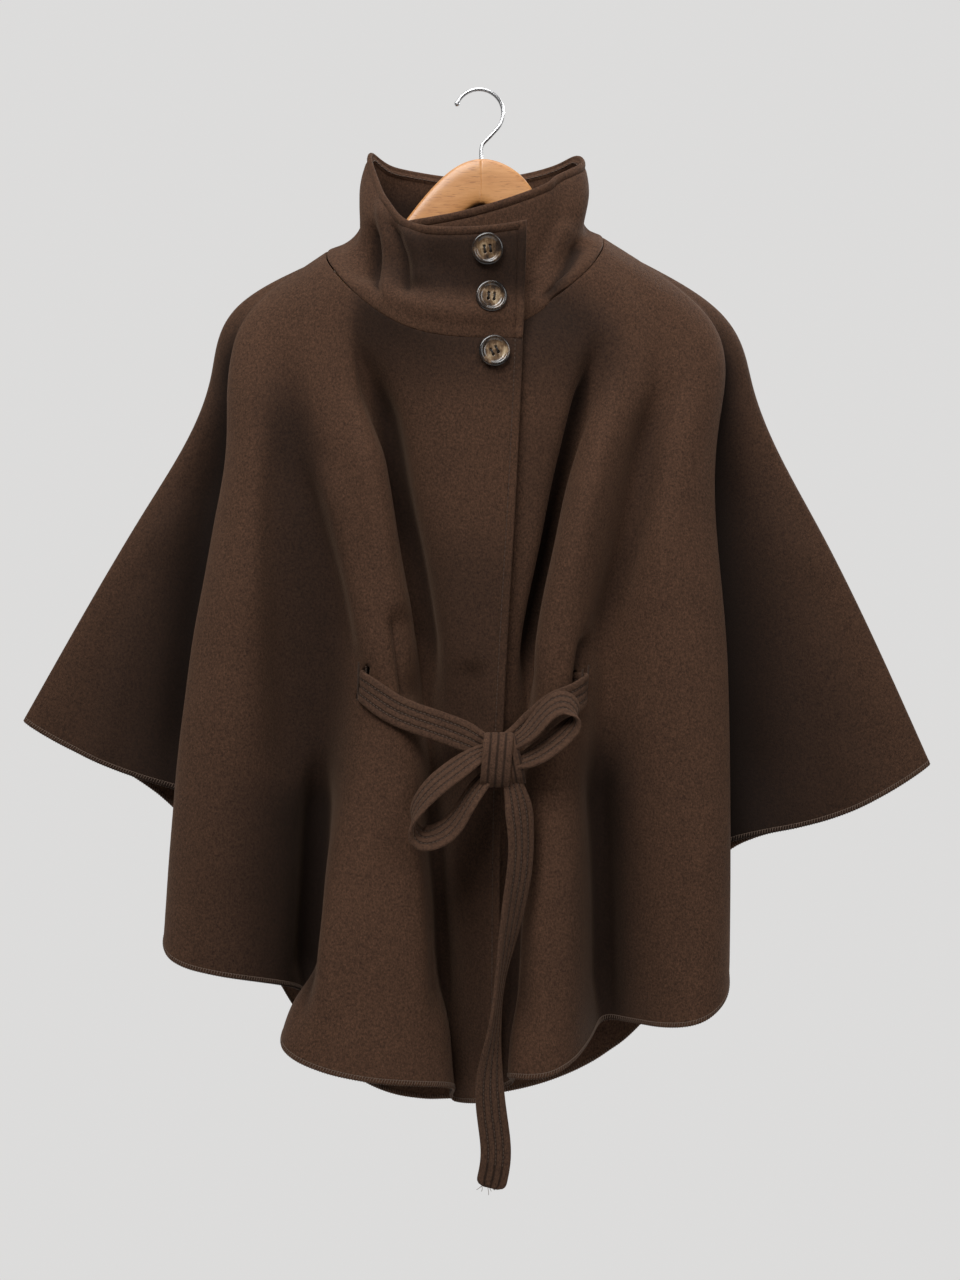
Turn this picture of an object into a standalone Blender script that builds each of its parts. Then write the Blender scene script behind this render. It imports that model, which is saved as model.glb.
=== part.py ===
import math
from collections import namedtuple

import bmesh
import bpy
import numpy as np
from mathutils import Matrix, Vector

for old in list(bpy.data.objects):
    bpy.data.objects.remove(old, do_unlink=True)

# Driving sizes in millimetres, turned into metres when a mesh is made
MM = 0.001
SEAM_GAP = 0.3
CLOTH_WALL = 2.4
COLLAR_WALL = 4.5
COLLAR_INSET = 1.0
BELT_WIDTH = 27.0
BELT_THICKNESS = 4.0
SLIT_WIDTH = 10.0
SLIT_HEIGHT = 31.0
BUTTON_RADIUS = 14.0
BUTTON_HOLE_RADIUS = 1.1
BUTTON_HOLE_SPACING = 2.6
HANGER_THICKNESS = 11.0
HANGER_ROUND = 4.6
HOOK_WIRE_RADIUS = 1.8
HOOK_BEND_RADIUS = 22.5

# Neck seam: half width, depths in front of and behind its middle, heights
NECK_CENTRE_X = -13.0
NECK_MIDDLE_Y = -22.0
NECK_HALF_WIDTH = 128.0
NECK_FRONT_DEPTH = 66.0
NECK_BACK_DEPTH = 49.0
NECK_FRONT_Z = -247.0
NECK_BACK_Z = -168.0
NECK_RIGHT_Z = -153.0
NECK_LEFT_Z = -140.0
NECK_DIP = 2.2
LAP_INSET = 12.0
LAP_START = -292.0
LAP_LENGTH = 34.0

# A fall line runs from the neck seam over the yoke, chest and waist to the hem
FALL_PLACE = (0.0, 0.13, 0.27, 0.58, 1.0)
CHEST_SHARE = 0.16
WAIST_SHARE = 0.49
WAIST_PLACE = FALL_PLACE[3]

Fold = namedtuple(
    "Fold",
    "name neck yoke_x yoke_y yoke_z chest_x chest_y waist_x waist_y hem_x hem_y hem_z",
)

RIGHT_FRONT = [
    Fold("over_edge", 24, 38, -84, -277, 33, -78, 22, -72, 19, -52, -934),
    Fold("centre_flat", -14, -35, -84, -280, -30, -74, -19, -58, -3, -40, -940),
    Fold("inner_valley", -38, -97, -62, -263, -76, -44, -46, -28, -25, -22, -942),
    Fold("cone_inner", -48, -115, -62, -255, -94, -60, -59, -58, -26, -66, -920),
    Fold("cone_crest", -55, -131, -58, -248, -111, -69, -80, -76, -100, -104, -904),
    Fold("cone_outer", -62, -152, -52, -243, -135, -61, -104, -64, -173, -84, -881),
    Fold("recess", -72, -173, -44, -237, -168, -45, -147, -30, -158, -8, -853),
    Fold("side_crest", -84, -200, -34, -232, -204, -52, -213, -70, -228, -74, -818),
    Fold("side_edge", -94, -214, -24, -227, -228, -34, -256, -44, -287, -44, -795),
    Fold("side_turn", -102, -217, -15, -219, -228, -11, -240, -7, -232, 0, -693),
    Fold("wing_front", -110, -220, -9, -211, -243, -5, -290, -4, -348, -3, -635),
]
RIGHT_RIDGE = Fold("right_ridge", -117, -223, 0, -202, -250, 6, -313, 8, -429, 10, -593)
BACK = [
    Fold("wing_back", -124, -220, 10, -211, -245, 17, -292, 20, -350, 22, -634),
    Fold("turn_back", -134, -205, 20, -216, -222, 24, -240, 25, -262, 22, -710),
    Fold("flute_right", -146, -165, 28, -220, -178, 36, -190, 44, -205, 46, -826),
    Fold("hollow_right", -160, -105, 30, -215, -110, 28, -112, 26, -112, 24, -936),
    Fold("centre_back", -180, -5, 32, -205, -4, 36, -3, 42, -2, 46, -957),
    Fold("hollow_left", -200, 95, 30, -208, 104, 28, 108, 26, 112, 24, -916),
    Fold("flute_left", -214, 160, 28, -214, 172, 36, 178, 44, 182, 46, -850),
    Fold("turn_back_left", -226, 202, 20, -214, 214, 24, 220, 25, 232, 22, -722),
    Fold("wing_back_left", -236, 216, 10, -212, 242, 17, 286, 20, 350, 22, -677),
]
LEFT_RIDGE = Fold("left_ridge", -243, 219, 0, -204, 255, 6, 321, 8, 425, 10, -634)
LEFT_FRONT = [
    Fold("wing_front_left", -250, 216, -9, -212, 243, -5, 285, -4, 348, -3, -677),
    Fold("side_turn_left", -258, 213, -15, -219, 220, -12, 212, -8, 206, 0, -730),
    Fold("side_edge_left", -266, 210, -24, -227, 214, -36, 220, -45, 227, -44, -836),
    Fold("side_crest_left", -276, 194, -34, -232, 188, -52, 181, -64, 190, -68, -863),
    Fold("recess_left", -288, 163, -42, -237, 150, -44, 118, -32, 118, -10, -871),
    Fold("cone_outer_left", -298, 147, -50, -243, 129, -61, 93, -66, 91, -72, -886),
    Fold("cone_crest_left", -305, 133, -54, -248, 112, -71, 71, -80, 58, -98, -902),
    Fold("cone_inner_left", -312, 121, -58, -253, 101, -64, 53, -67, 30, -80, -907),
    Fold("inner_valley_left", -320, 100, -62, -261, 84, -45, 43, -46, 31, -50, -920),
    Fold("under_flat", -332, 68, -74, -272, 58, -66, 26, -57, 12, -42, -928),
    Fold("under_middle", -356, 18, -77, -279, 14, -67, 7, -55, -1, -34, -932),
    Fold("under_edge", -381, -42, -75, -277, -30, -65, -14, -48, -15, -24, -934),
]

# Collar lines: steps outward and up from the neck seam, then the top edge
COLLAR_PLACE = (0.0, 0.14, 0.34, 0.68, 1.0)
COLLAR_OUT_TURN = 2.2
CollarLine = namedtuple(
    "CollarLine",
    "name neck roll_out roll_rise tuck_out tuck_rise mid_out top_x top_y top_z",
)
COLLAR = [
    CollarLine("over_end", 24, 4, 18, 5, 40, 1, 42, -95, -144),
    CollarLine("front", 4, 5, 18, 4, 40, 1, 10, -96, -149),
    CollarLine("front_right", -18, 5, 18, 2, 38, 1, -35, -92, -149),
    CollarLine("fold_right", -34, 3, 16, -5, 32, 1, -61, -81, -142),
    CollarLine("crease_right", -46, 0, 12, -15, 22, 2, -77, -65, -126),
    CollarLine("bulge_right", -64, -6, 8, -21, 18, 5, -89, -43, -103),
    CollarLine("side_right", -90, -10, 6, -27, 16, 5, -101, -15, -67),
    CollarLine("back_turn_right", -120, -6, 10, -14, 24, 5, -88, 6, -66),
    CollarLine("back_right", -142, 0, 14, 0, 34, 2, -64, 19, -70),
    CollarLine("back", -180, 2, 16, 0, 38, 3, 1, 27, -75),
    CollarLine("back_left", -222, 1, 14, 2, 32, 2, 66, 19, -67),
    CollarLine("back_turn_left", -240, -3, 10, -6, 24, 4, 82, 7, -63),
    CollarLine("side_left", -270, -8, 6, -16, 15, 4, 96, -12, -66),
    CollarLine("bulge_left", -292, -4, 9, -14, 18, 5, 88, -32, -80),
    CollarLine("crease_left", -310, 2, 12, -10, 24, 0, 68, -51, -95),
    CollarLine("front_left", -330, 4, 14, -4, 30, 0, 36, -71, -115),
    CollarLine("under_front", -354, 4, 14, 0, 34, 0, -8, -82, -131),
    CollarLine("under_end", -381, 2, 14, -3, 34, 0, -66, -66, -138),
]

# Belt: places of the centre line, with the turn and rise of the width direction in degrees
BeltPoint = namedtuple("BeltPoint", "x y z turn rise")
KNOT_CENTRE = (18.0, -98.0, -621.5)
KNOT_SIZE = (36.0, 36.0, 49.0)
KNOT_ROUND = 5.0
KNOT_RIGHT_SIDE = KNOT_CENTRE[0] - KNOT_SIZE[0] / 2
KNOT_LEFT_SIDE = KNOT_CENTRE[0] + KNOT_SIZE[0] / 2
LOOP_KNOT_GAP = 1.7
STRAND_KNOT_GAP = 0.6
LOOP_UPPER = [
    BeltPoint(37.7, -107, -602, 90, 48),
    BeltPoint(49, -108, -590, 90, 48),
    BeltPoint(62, -109, -576, 90, 48),
    BeltPoint(76, -110, -571, 90, 48),
    BeltPoint(85, -110, -581, 90, 48),
    BeltPoint(77, -110, -596, 90, 48),
    BeltPoint(58, -109, -611, 90, 48),
    BeltPoint(37.7, -107, -623, 90, 48),
]
LOOP_LOWER = [
    BeltPoint(-1.7, -107, -617, 90, 48),
    BeltPoint(-17, -109, -627, 90, 48),
    BeltPoint(-37, -111, -642, 90, 48),
    BeltPoint(-51, -112, -657, 90, 48),
    BeltPoint(-57, -112, -673, 90, 48),
    BeltPoint(-52, -112, -688, 90, 48),
    BeltPoint(-35, -111, -686, 90, 48),
    BeltPoint(-15, -109, -667, 90, 48),
    BeltPoint(-1.7, -107, -646, 90, 48),
]
TAIL = [
    BeltPoint(31, -103, -646.4, 10, 0),
    BeltPoint(37, -104, -682, 30, 0),
    BeltPoint(35, -103, -727, 35, 0),
    BeltPoint(27, -101, -771, 50, 0),
    BeltPoint(19, -100, -816, 72, 0),
    BeltPoint(12, -99, -869, 60, 0),
    BeltPoint(10, -97, -922, 15, 0),
    BeltPoint(15, -95, -968, 2, 0),
    BeltPoint(10, -93, -1001, -3, 0),
]
STRAND_KNOT_END = {"right": (-0.5, -91, -607), "left": (36.5, -91, -600)}
BELT_BACK_MIDDLE = [(-88, -24, -582), (-80, 2, -592), (-44, 18, -602), (0, 21, -605)]
BELT_END_INSIDE = 14.0
BELT_JOIN_GAP = 0.8
BELT_LIFT = 4.2

# Buttons: share of the lap from its edge, place up the collar or down the front
BUTTON_LAP_SHARE = 0.32
BUTTON_TOP_LAP_SHARE = 0.48
BUTTON_TOP_PLACE = 0.77
BUTTON_MIDDLE_PLACE = 0.30
BUTTON_BOTTOM_PLACE = 0.075
BUTTON_TOP_LIFT = 0.25
BUTTON_MIDDLE_LIFT = 0.8
BUTTON_BOTTOM_LIFT = 0.6
BUTTON_PROFILE = [
    (0.0, 0.0),
    (8.5, 0.4),
    (12.8, 1.7),
    (BUTTON_RADIUS, 2.9),
    (13.6, 4.1),
    (12.2, 4.6),
    (10.4, 4.0),
    (9.2, 3.2),
    (0.0, 3.0),
]

# Hanger outline from the left arm's end over the top, then back along the underside
HANGER_TOP = [(-222, -207), (-216, -200), (-205, -192.5), (-180, -181), (-160, -174)]
HANGER_TOP += [(-136, -167), (-112, -160), (-90, -146), (-66, -118), (-37, -84)]
HANGER_TOP += [(-18, -69.5), (2, -64), (24, -69), (41, -81), (60, -113), (74, -142), (90, -156)]
HANGER_TOP += [(108, -161), (136, -167), (160, -174), (176, -181), (201, -194.5)]
HANGER_TOP += [(212, -202), (218, -209)]
HANGER_UNDER = [(222, -218), (212, -228), (120, -186), (50, -143), (20, -118.5), (2, -106)]
HANGER_UNDER += [(-18, -117.5), (-48, -143), (-120, -186), (-216, -228), (-226, -218)]
HOOK_TIP_ANGLE = 163.0
HOOK_FOOT = (2.0, -64.3)

object_parts = bpy.data.collections.new("belted_cape_on_hanger")
bpy.context.scene.collection.children.link(object_parts)
cutters = bpy.data.collections.new("cutters")
bpy.context.scene.collection.children.link(cutters)


def plain_material(name, colour, roughness, metallic=0.0):
    """One plain surface for one piece."""
    surface = bpy.data.materials.new(name)
    surface.use_nodes = True
    shader = surface.node_tree.nodes["Principled BSDF"]
    shader.inputs["Base Color"].default_value = (*colour, 1.0)
    shader.inputs["Roughness"].default_value = roughness
    shader.inputs["Metallic"].default_value = metallic
    surface.diffuse_color = (*colour, 1.0)
    return surface


def add_object(name, data, surface, collection):
    """Place a mesh or curve in a collection with its surface."""
    piece = bpy.data.objects.new(name, data)
    data.materials.append(surface)
    collection.objects.link(piece)
    return piece


def smooth_weights(knots, places):
    """Weights that carry values at the knots to a natural cubic curve through them."""
    knots = np.asarray(knots, float)
    places = np.asarray(places, float)
    count = len(knots)
    step = np.diff(knots)
    bend_side = np.eye(count)
    value_side = np.zeros((count, count))
    for i in range(1, count - 1):
        before = step[i - 1]
        after = step[i]
        bend_side[i, i - 1:i + 2] = (before, 2 * (before + after), after)
        value_side[i, i - 1:i + 2] = (6 / before, -6 / before - 6 / after, 6 / after)
    bend = np.linalg.solve(bend_side, value_side)
    span = np.clip(np.searchsorted(knots, places, side="right") - 1, 0, count - 2)
    width = step[span][:, None]
    share = (places - knots[span])[:, None] / width
    rest = 1 - share
    unit = np.eye(count)
    weights = rest * unit[span] + share * unit[span + 1]
    weights += (rest ** 3 - rest) * bend[span] * width ** 2 / 6
    weights += (share ** 3 - share) * bend[span + 1] * width ** 2 / 6
    return weights


def smooth_path(points, count):
    """Even samples on a smooth curve through the rows, spaced by their distance apart."""
    points = np.asarray(points, float)
    steps = np.linalg.norm(np.diff(points[:, :3], axis=0), axis=1)
    knots = np.concatenate([[0.0], np.cumsum(steps)])
    return smooth_weights(knots, np.linspace(0.0, knots[-1], count)) @ points


def unit(vectors):
    """Vectors of length one."""
    return vectors / np.linalg.norm(vectors, axis=-1, keepdims=True)


def neck_point(angle):
    """Neck seam at an angle from the front, turning to the wearer's right."""
    turn = math.radians(angle)
    across = math.sin(turn)
    ahead = math.cos(turn)
    lap_ahead = math.cos(min(turn, 0.0))
    depth = NECK_FRONT_DEPTH if ahead > 0 else NECK_BACK_DEPTH
    lap = min(max((LAP_START - angle) / LAP_LENGTH, 0.0), 1.0)
    inset = LAP_INSET * lap * lap * (3 - 2 * lap)
    x = NECK_CENTRE_X + (NECK_HALF_WIDTH - inset) * across
    y = NECK_MIDDLE_Y - (depth - inset) * ahead
    shoulder_z = NECK_RIGHT_Z if across < 0 else NECK_LEFT_Z
    shoulder_ahead = NECK_MIDDLE_Y / NECK_BACK_DEPTH
    if ahead > shoulder_ahead:
        share = ((lap_ahead - shoulder_ahead) / (1 - shoulder_ahead)) ** NECK_DIP
        z = shoulder_z + (NECK_FRONT_Z - shoulder_z) * share
    else:
        share = (shoulder_ahead - ahead) / (1 + shoulder_ahead)
        z = shoulder_z + (NECK_BACK_Z - shoulder_z) * share
    return (x, y, z)


def fall_line(fold):
    """Five points of one fold line, from the neck seam to the hem."""
    fall = fold.hem_z - fold.yoke_z
    yoke = (fold.yoke_x, fold.yoke_y, fold.yoke_z)
    chest = (fold.chest_x, fold.chest_y, fold.yoke_z + CHEST_SHARE * fall)
    waist = (fold.waist_x, fold.waist_y, fold.yoke_z + WAIST_SHARE * fall)
    hem = (fold.hem_x, fold.hem_y, fold.hem_z)
    return (neck_point(fold.neck), yoke, chest, waist, hem)


folds = RIGHT_FRONT + [RIGHT_RIDGE] + BACK + [LEFT_RIDGE] + LEFT_FRONT
fold_index = {fold.name: i for i, fold in enumerate(folds)}
body_lines = np.array([fall_line(fold) for fold in folds], float)
waist_steps = np.linalg.norm(np.diff(body_lines[:, 3], axis=0), axis=1)
hem_steps = np.linalg.norm(np.diff(body_lines[:, 4], axis=0), axis=1)
fold_place = np.concatenate([[0.0], np.cumsum((waist_steps + hem_steps) / 2)])


def body_grid(along, down):
    """Inner face of the cloth: places along the ring of folds by places down the fall."""
    across = smooth_weights(fold_place, along)
    fall = smooth_weights(FALL_PLACE, down)
    return np.einsum("ir,rsk,js->ijk", across, body_lines, fall)


def body_frame(along, down):
    """Point, direction along the ring, direction down and outward normal at one place."""
    step = 0.5
    small = 0.002
    point = body_grid([along], [down])[0, 0]
    ring = body_grid([along - step, along + step], [down])[:, 0]
    fall = body_grid([along], [down - small, down + small])[0]
    ring_pull = (ring[1] - ring[0]) / (2 * step)
    fall_pull = (fall[1] - fall[0]) / (2 * small)
    normal = unit(np.cross(ring_pull, fall_pull))
    return point, ring_pull, fall_pull, normal


collar_place = np.interp(
    [-line.neck for line in COLLAR],
    [-fold.neck for fold in folds],
    fold_place,
)
collar_values = np.array([line[2:] for line in COLLAR], float)


def collar_grid(along, up):
    """Outer face of the collar, from just inside the neck seam to the top edge."""
    along = np.asarray(along, float)
    base = body_grid(along, [0.0])[:, 0]
    aside = base[:, 0] - NECK_CENTRE_X
    ahead = (base[:, 1] - NECK_MIDDLE_Y) * COLLAR_OUT_TURN
    out = unit(np.stack([aside, ahead, np.zeros(len(base))], axis=1))
    rise = np.array([0.0, 0.0, 1.0])
    base = base - out * COLLAR_INSET + rise * SEAM_GAP
    value = smooth_weights(collar_place, along) @ collar_values
    roll = base + out * value[:, 0:1] + rise * value[:, 1:2]
    tuck = base + out * value[:, 2:3] + rise * value[:, 3:4]
    top = value[:, 5:8]
    middle = (tuck + top) / 2 + out * value[:, 4:5]
    lines = np.stack([base, roll, tuck, middle, top], axis=1)
    profile = smooth_weights(COLLAR_PLACE, up)
    return np.einsum("isk,js->ijk", lines, profile)


def even_places(knots, parts):
    """Each span between knots divided into the same number of parts."""
    whole = np.arange((len(knots) - 1) * parts + 1) / parts
    return np.interp(whole, np.arange(len(knots)), knots)


def cloth_object(name, grid, wall, grow, surface, hole=None):
    """A shell on a grid of points, with the quads of a hole left out."""
    rows, columns = grid.shape[:2]
    number = np.arange(rows * columns).reshape(rows, columns)
    keep = np.ones((rows - 1, columns - 1), bool)
    if hole is not None:
        keep[hole[0], hole[1]] = False
    corners = [number[:-1, :-1], number[1:, :-1], number[1:, 1:], number[:-1, 1:]]
    quads = np.stack([corner[keep] for corner in corners], axis=1)
    mesh = bpy.data.meshes.new(name)
    mesh.from_pydata((grid.reshape(-1, 3) * MM).tolist(), [], quads.tolist())
    mesh.shade_smooth()
    piece = add_object(name, mesh, surface, object_parts)
    shell = piece.modifiers.new("wall", "SOLIDIFY")
    shell.thickness = wall * MM
    shell.offset = grow
    shell.use_quality_normals = True
    return piece


def move_edge(grid, side, distance):
    """Draw one side of a grid back by a distance, for a seam."""
    inner = 1 if side == 0 else side - 1
    grid[side] += unit(grid[inner] - grid[side]) * distance


def slit_places(along_list, down_list, along_slit, down_slit):
    """Grid places with lines at the slit's sides, and the cell that the slit takes."""
    _, ring_pull, fall_pull, _ = body_frame(along_slit, down_slit)
    half_along = SLIT_WIDTH / 2 / np.linalg.norm(ring_pull)
    half_down = SLIT_HEIGHT / 2 / np.linalg.norm(fall_pull)
    along_far = [a for a in along_list if abs(a - along_slit) > 1.3 * half_along]
    down_far = [d for d in down_list if abs(d - down_slit) > 1.4 * half_down]
    along_new = sorted(along_far + [along_slit - half_along, along_slit + half_along])
    down_new = sorted(down_far + [down_slit - half_down, down_slit + half_down])
    cell = (along_new.index(along_slit - half_along), down_new.index(down_slit - half_down))
    return along_new, down_new, cell


def ribbon_object(name, rows, count, surface, reach=(-1000.0, 1000.0)):
    """A flat belt along a smooth path, square to the path and cut off flat at its reach in X."""
    rows = np.asarray(rows, float)
    samples = smooth_path(rows, count)
    path = samples[:, :3]
    width = samples[:, 3:6]
    ahead = unit(np.gradient(path, axis=0))
    width = unit(width - ahead * np.sum(width * ahead, axis=1, keepdims=True))
    shares = np.array([-0.5, 0.0, 0.5]) * BELT_WIDTH
    grid = path[:, None, :] + width[:, None, :] * shares[None, :, None]
    grid[:, :, 0] = np.clip(grid[:, :, 0], reach[0], reach[1])
    return cloth_object(name, grid, BELT_THICKNESS, 0.0, surface)


def belt_rows(points):
    """Belt points with their width direction as a vector."""
    rows = []
    for point in points:
        turn = math.radians(point.turn)
        rise = math.radians(point.rise)
        level = math.cos(rise)
        width = (level * math.cos(turn), level * math.sin(turn), math.sin(rise))
        rows.append((point.x, point.y, point.z, *width))
    return rows


cloth_brown = (0.062, 0.040, 0.029)
belt_brown = (0.058, 0.037, 0.027)
horn_brown = (0.085, 0.052, 0.034)
wood_tan = (0.52, 0.27, 0.11)

# Body panels
fall_parts = [3, 2, 4, 5]
fall_list = [0.0]
for span_index, parts in enumerate(fall_parts):
    span_places = np.linspace(FALL_PLACE[span_index], FALL_PLACE[span_index + 1], parts + 1)
    fall_list.extend(span_places[1:].tolist())

right_last = fold_index["right_ridge"]
left_first = fold_index["left_ridge"]
right_along = even_places(fold_place[:right_last + 1], 3).tolist()
back_along = even_places(fold_place[right_last:left_first + 1], 3).tolist()
left_along = even_places(fold_place[left_first:], 3).tolist()
slit_along = {
    "right": fold_place[fold_index["cone_outer"]],
    "left": fold_place[fold_index["cone_outer_left"]],
}

right_along, right_down, right_cell = slit_places(
    right_along, fall_list, slit_along["right"], WAIST_PLACE
)
right_grid = body_grid(right_along, right_down)
move_edge(right_grid, len(right_along) - 1, SEAM_GAP / 2)
right_surface = plain_material("front_right_wool", cloth_brown, 0.9)
cloth_object("front_right", right_grid, CLOTH_WALL, 1.0, right_surface, right_cell)

left_along, left_down, left_cell = slit_places(
    left_along, fall_list, slit_along["left"], WAIST_PLACE
)
left_grid = body_grid(left_along, left_down)
move_edge(left_grid, 0, SEAM_GAP / 2)
left_surface = plain_material("front_left_wool", cloth_brown, 0.9)
cloth_object("front_left", left_grid, CLOTH_WALL, 1.0, left_surface, left_cell)

back_grid = body_grid(back_along, fall_list)
move_edge(back_grid, 0, SEAM_GAP / 2)
move_edge(back_grid, len(back_along) - 1, SEAM_GAP / 2)
back_surface = plain_material("back_panel_wool", cloth_brown, 0.9)
cloth_object("back_panel", back_grid, CLOTH_WALL, 1.0, back_surface)

# Collar
collar_along = even_places(collar_place, 2)
collar_up = even_places(COLLAR_PLACE, 2)
collar_mesh = collar_grid(collar_along, collar_up)[:, ::-1]
collar_surface = plain_material("collar_wool", cloth_brown, 0.9)
cloth_object("collar", collar_mesh, COLLAR_WALL, -1.0, collar_surface)

# Belt
belt_inside_end = {}
for side, crest_name in (("right", "cone_crest"), ("left", "cone_crest_left")):
    slit, ring_pull, fall_pull, outward = body_frame(slit_along[side], WAIST_PLACE)
    middle = slit + outward * CLOTH_WALL / 2
    crest_place = fold_place[fold_index[crest_name]]
    crest, _, _, crest_out = body_frame(crest_place, WAIST_PLACE + 0.008)
    inward = unit(crest - slit)
    upright = -unit(fall_pull)
    knot_end = np.array(STRAND_KNOT_END[side], float)
    over_crest = crest + crest_out * (CLOTH_WALL + BELT_LIFT)
    lean = unit(np.cross(knot_end - over_crest, np.array([0.0, -1.0, 0.0])))
    lean = lean if lean[2] > 0 else -lean
    strand = [
        (*(middle - outward * BELT_END_INSIDE + inward * 1.2), *upright),
        (*(middle - outward * 6.0 + inward * 1.2), *upright),
        (*(middle + outward * 2.6 + inward * 1.6), *upright),
    ]
    for share in (0.3, 0.65):
        place = slit_along[side] + share * (crest_place - slit_along[side])
        point, _, _, point_out = body_frame(place, WAIST_PLACE + 0.008 * share)
        strand.append((*(point + point_out * (CLOTH_WALL + BELT_LIFT)), *upright))
    strand.append((*over_crest, *unit(upright + lean)))
    strand.append((*((over_crest + knot_end) / 2), *lean))
    strand.append((*knot_end, *lean))
    strand_surface = plain_material("belt_strand_" + side + "_wool", belt_brown, 0.85)
    strand_reach = (-1000.0, KNOT_RIGHT_SIDE - STRAND_KNOT_GAP)
    if side == "left":
        strand_reach = (KNOT_LEFT_SIDE + STRAND_KNOT_GAP, 1000.0)
    ribbon_object("belt_strand_" + side, strand, 26, strand_surface, strand_reach)
    inside_end = middle - outward * (BELT_END_INSIDE + BELT_JOIN_GAP) + inward * 1.2
    belt_inside_end[side] = (inside_end, outward, upright)

back_rows = []
right_end, right_out, right_up = belt_inside_end["right"]
back_rows.append((*right_end, *right_up))
back_rows.append((*(right_end - right_out * 10.0), *right_up))
for x, y, z in BELT_BACK_MIDDLE:
    back_rows.append((x, y, z, 0.0, 0.0, 1.0))
for x, y, z in reversed(BELT_BACK_MIDDLE[:-1]):
    back_rows.append((-x, y, z, 0.0, 0.0, 1.0))
left_end, left_out, left_up = belt_inside_end["left"]
back_rows.append((*(left_end - left_out * 10.0), *left_up))
back_rows.append((*left_end, *left_up))
belt_back_surface = plain_material("belt_back_wool", belt_brown, 0.85)
ribbon_object("belt_back", back_rows, 34, belt_back_surface)

upper_reach = (KNOT_LEFT_SIDE + LOOP_KNOT_GAP, 1000.0)
lower_reach = (-1000.0, KNOT_RIGHT_SIDE - LOOP_KNOT_GAP)
upper_surface = plain_material("belt_loop_upper_wool", belt_brown, 0.85)
ribbon_object("belt_loop_upper", belt_rows(LOOP_UPPER), 26, upper_surface, upper_reach)
lower_surface = plain_material("belt_loop_lower_wool", belt_brown, 0.85)
ribbon_object("belt_loop_lower", belt_rows(LOOP_LOWER), 28, lower_surface, lower_reach)
tail_surface = plain_material("belt_tail_wool", belt_brown, 0.85)
ribbon_object("belt_tail", belt_rows(TAIL), 26, tail_surface)

knot_shape = bmesh.new()
bmesh.ops.create_cone(
    knot_shape, cap_ends=True, segments=24, radius1=0.5, radius2=0.5, depth=1.0
)
knot_turn = Matrix.Rotation(math.radians(90), 4, "Y")
knot_scale = Matrix.Diagonal(Vector([size * MM for size in KNOT_SIZE] + [1.0]))
knot_move = Matrix.Translation(Vector([place * MM for place in KNOT_CENTRE]))
bmesh.ops.transform(knot_shape, matrix=knot_move @ knot_scale @ knot_turn, verts=knot_shape.verts)
knot_mesh = bpy.data.meshes.new("belt_knot")
knot_shape.to_mesh(knot_mesh)
knot_shape.free()
knot_surface = plain_material("belt_knot_wool", belt_brown, 0.85)
knot = add_object("belt_knot", knot_mesh, knot_surface, object_parts)
knot_edges = knot.modifiers.new("round", "BEVEL")
knot_edges.width = KNOT_ROUND * MM
knot_edges.segments = 3
knot_edges.limit_method = "ANGLE"
knot_edges.angle_limit = math.radians(60)


def surface_frame(points, middle):
    """Placement on a small patch: Z along its outward normal, X along its first direction."""
    across = unit(points[2, 1] - points[0, 1])
    down = points[1, 2] - points[1, 0]
    out = unit(np.cross(across, down))
    side = unit(across - out * np.dot(across, out))
    up = np.cross(out, side)
    frame = Matrix.Identity(4)
    for row in range(3):
        frame[row][0] = side[row]
        frame[row][1] = up[row]
        frame[row][2] = out[row]
        frame[row][3] = middle[row] * MM
    return frame, out


def button_object(name, patch, lift):
    """A turned four-hole button lying on a patch of cloth."""
    frame, out = surface_frame(patch, patch[1, 1])
    frame = Matrix.Translation(Vector((out * lift * MM).tolist())) @ frame
    mesh = bpy.data.meshes.new(name)
    points = [(radius * MM, 0.0, height * MM) for radius, height in BUTTON_PROFILE]
    edges = [(i, i + 1) for i in range(len(points) - 1)]
    mesh.from_pydata(points, edges, [])
    piece = add_object(name, mesh, plain_material(name + "_horn", horn_brown, 0.3), object_parts)
    piece.matrix_world = frame
    turned = piece.modifiers.new("turn", "SCREW")
    turned.steps = 16
    turned.render_steps = 16
    turned.use_merge_vertices = True
    turned.merge_threshold = 0.00001
    turned.use_normal_calculate = True
    holes = bmesh.new()
    for x, y in ((-1, -1), (1, -1), (-1, 1), (1, 1)):
        place = Vector((x * BUTTON_HOLE_SPACING * MM, y * BUTTON_HOLE_SPACING * MM, 2 * MM))
        bmesh.ops.create_cone(
            holes, cap_ends=True, segments=6, radius1=BUTTON_HOLE_RADIUS * MM,
            radius2=BUTTON_HOLE_RADIUS * MM, depth=8 * MM, matrix=Matrix.Translation(place),
        )
    hole_mesh = bpy.data.meshes.new(name + "_holes")
    holes.to_mesh(hole_mesh)
    holes.free()
    hole_surface = plain_material(name + "_cut", horn_brown, 0.3)
    cutter = add_object(name + "_holes", hole_mesh, hole_surface, cutters)
    cutter.matrix_world = frame
    cutter.hide_render = True
    cutter.display_type = "WIRE"
    cut = piece.modifiers.new("holes", "BOOLEAN")
    cut.operation = "DIFFERENCE"
    cut.object = cutter
    cut.solver = "EXACT"
    return piece



def lap_patch(share):
    """Three places along the lap, round a share of its width from the edge."""
    middle = fold_place[0] + share * (fold_place[1] - fold_place[0])
    return [middle - 4.0, middle, middle + 4.0]


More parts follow.
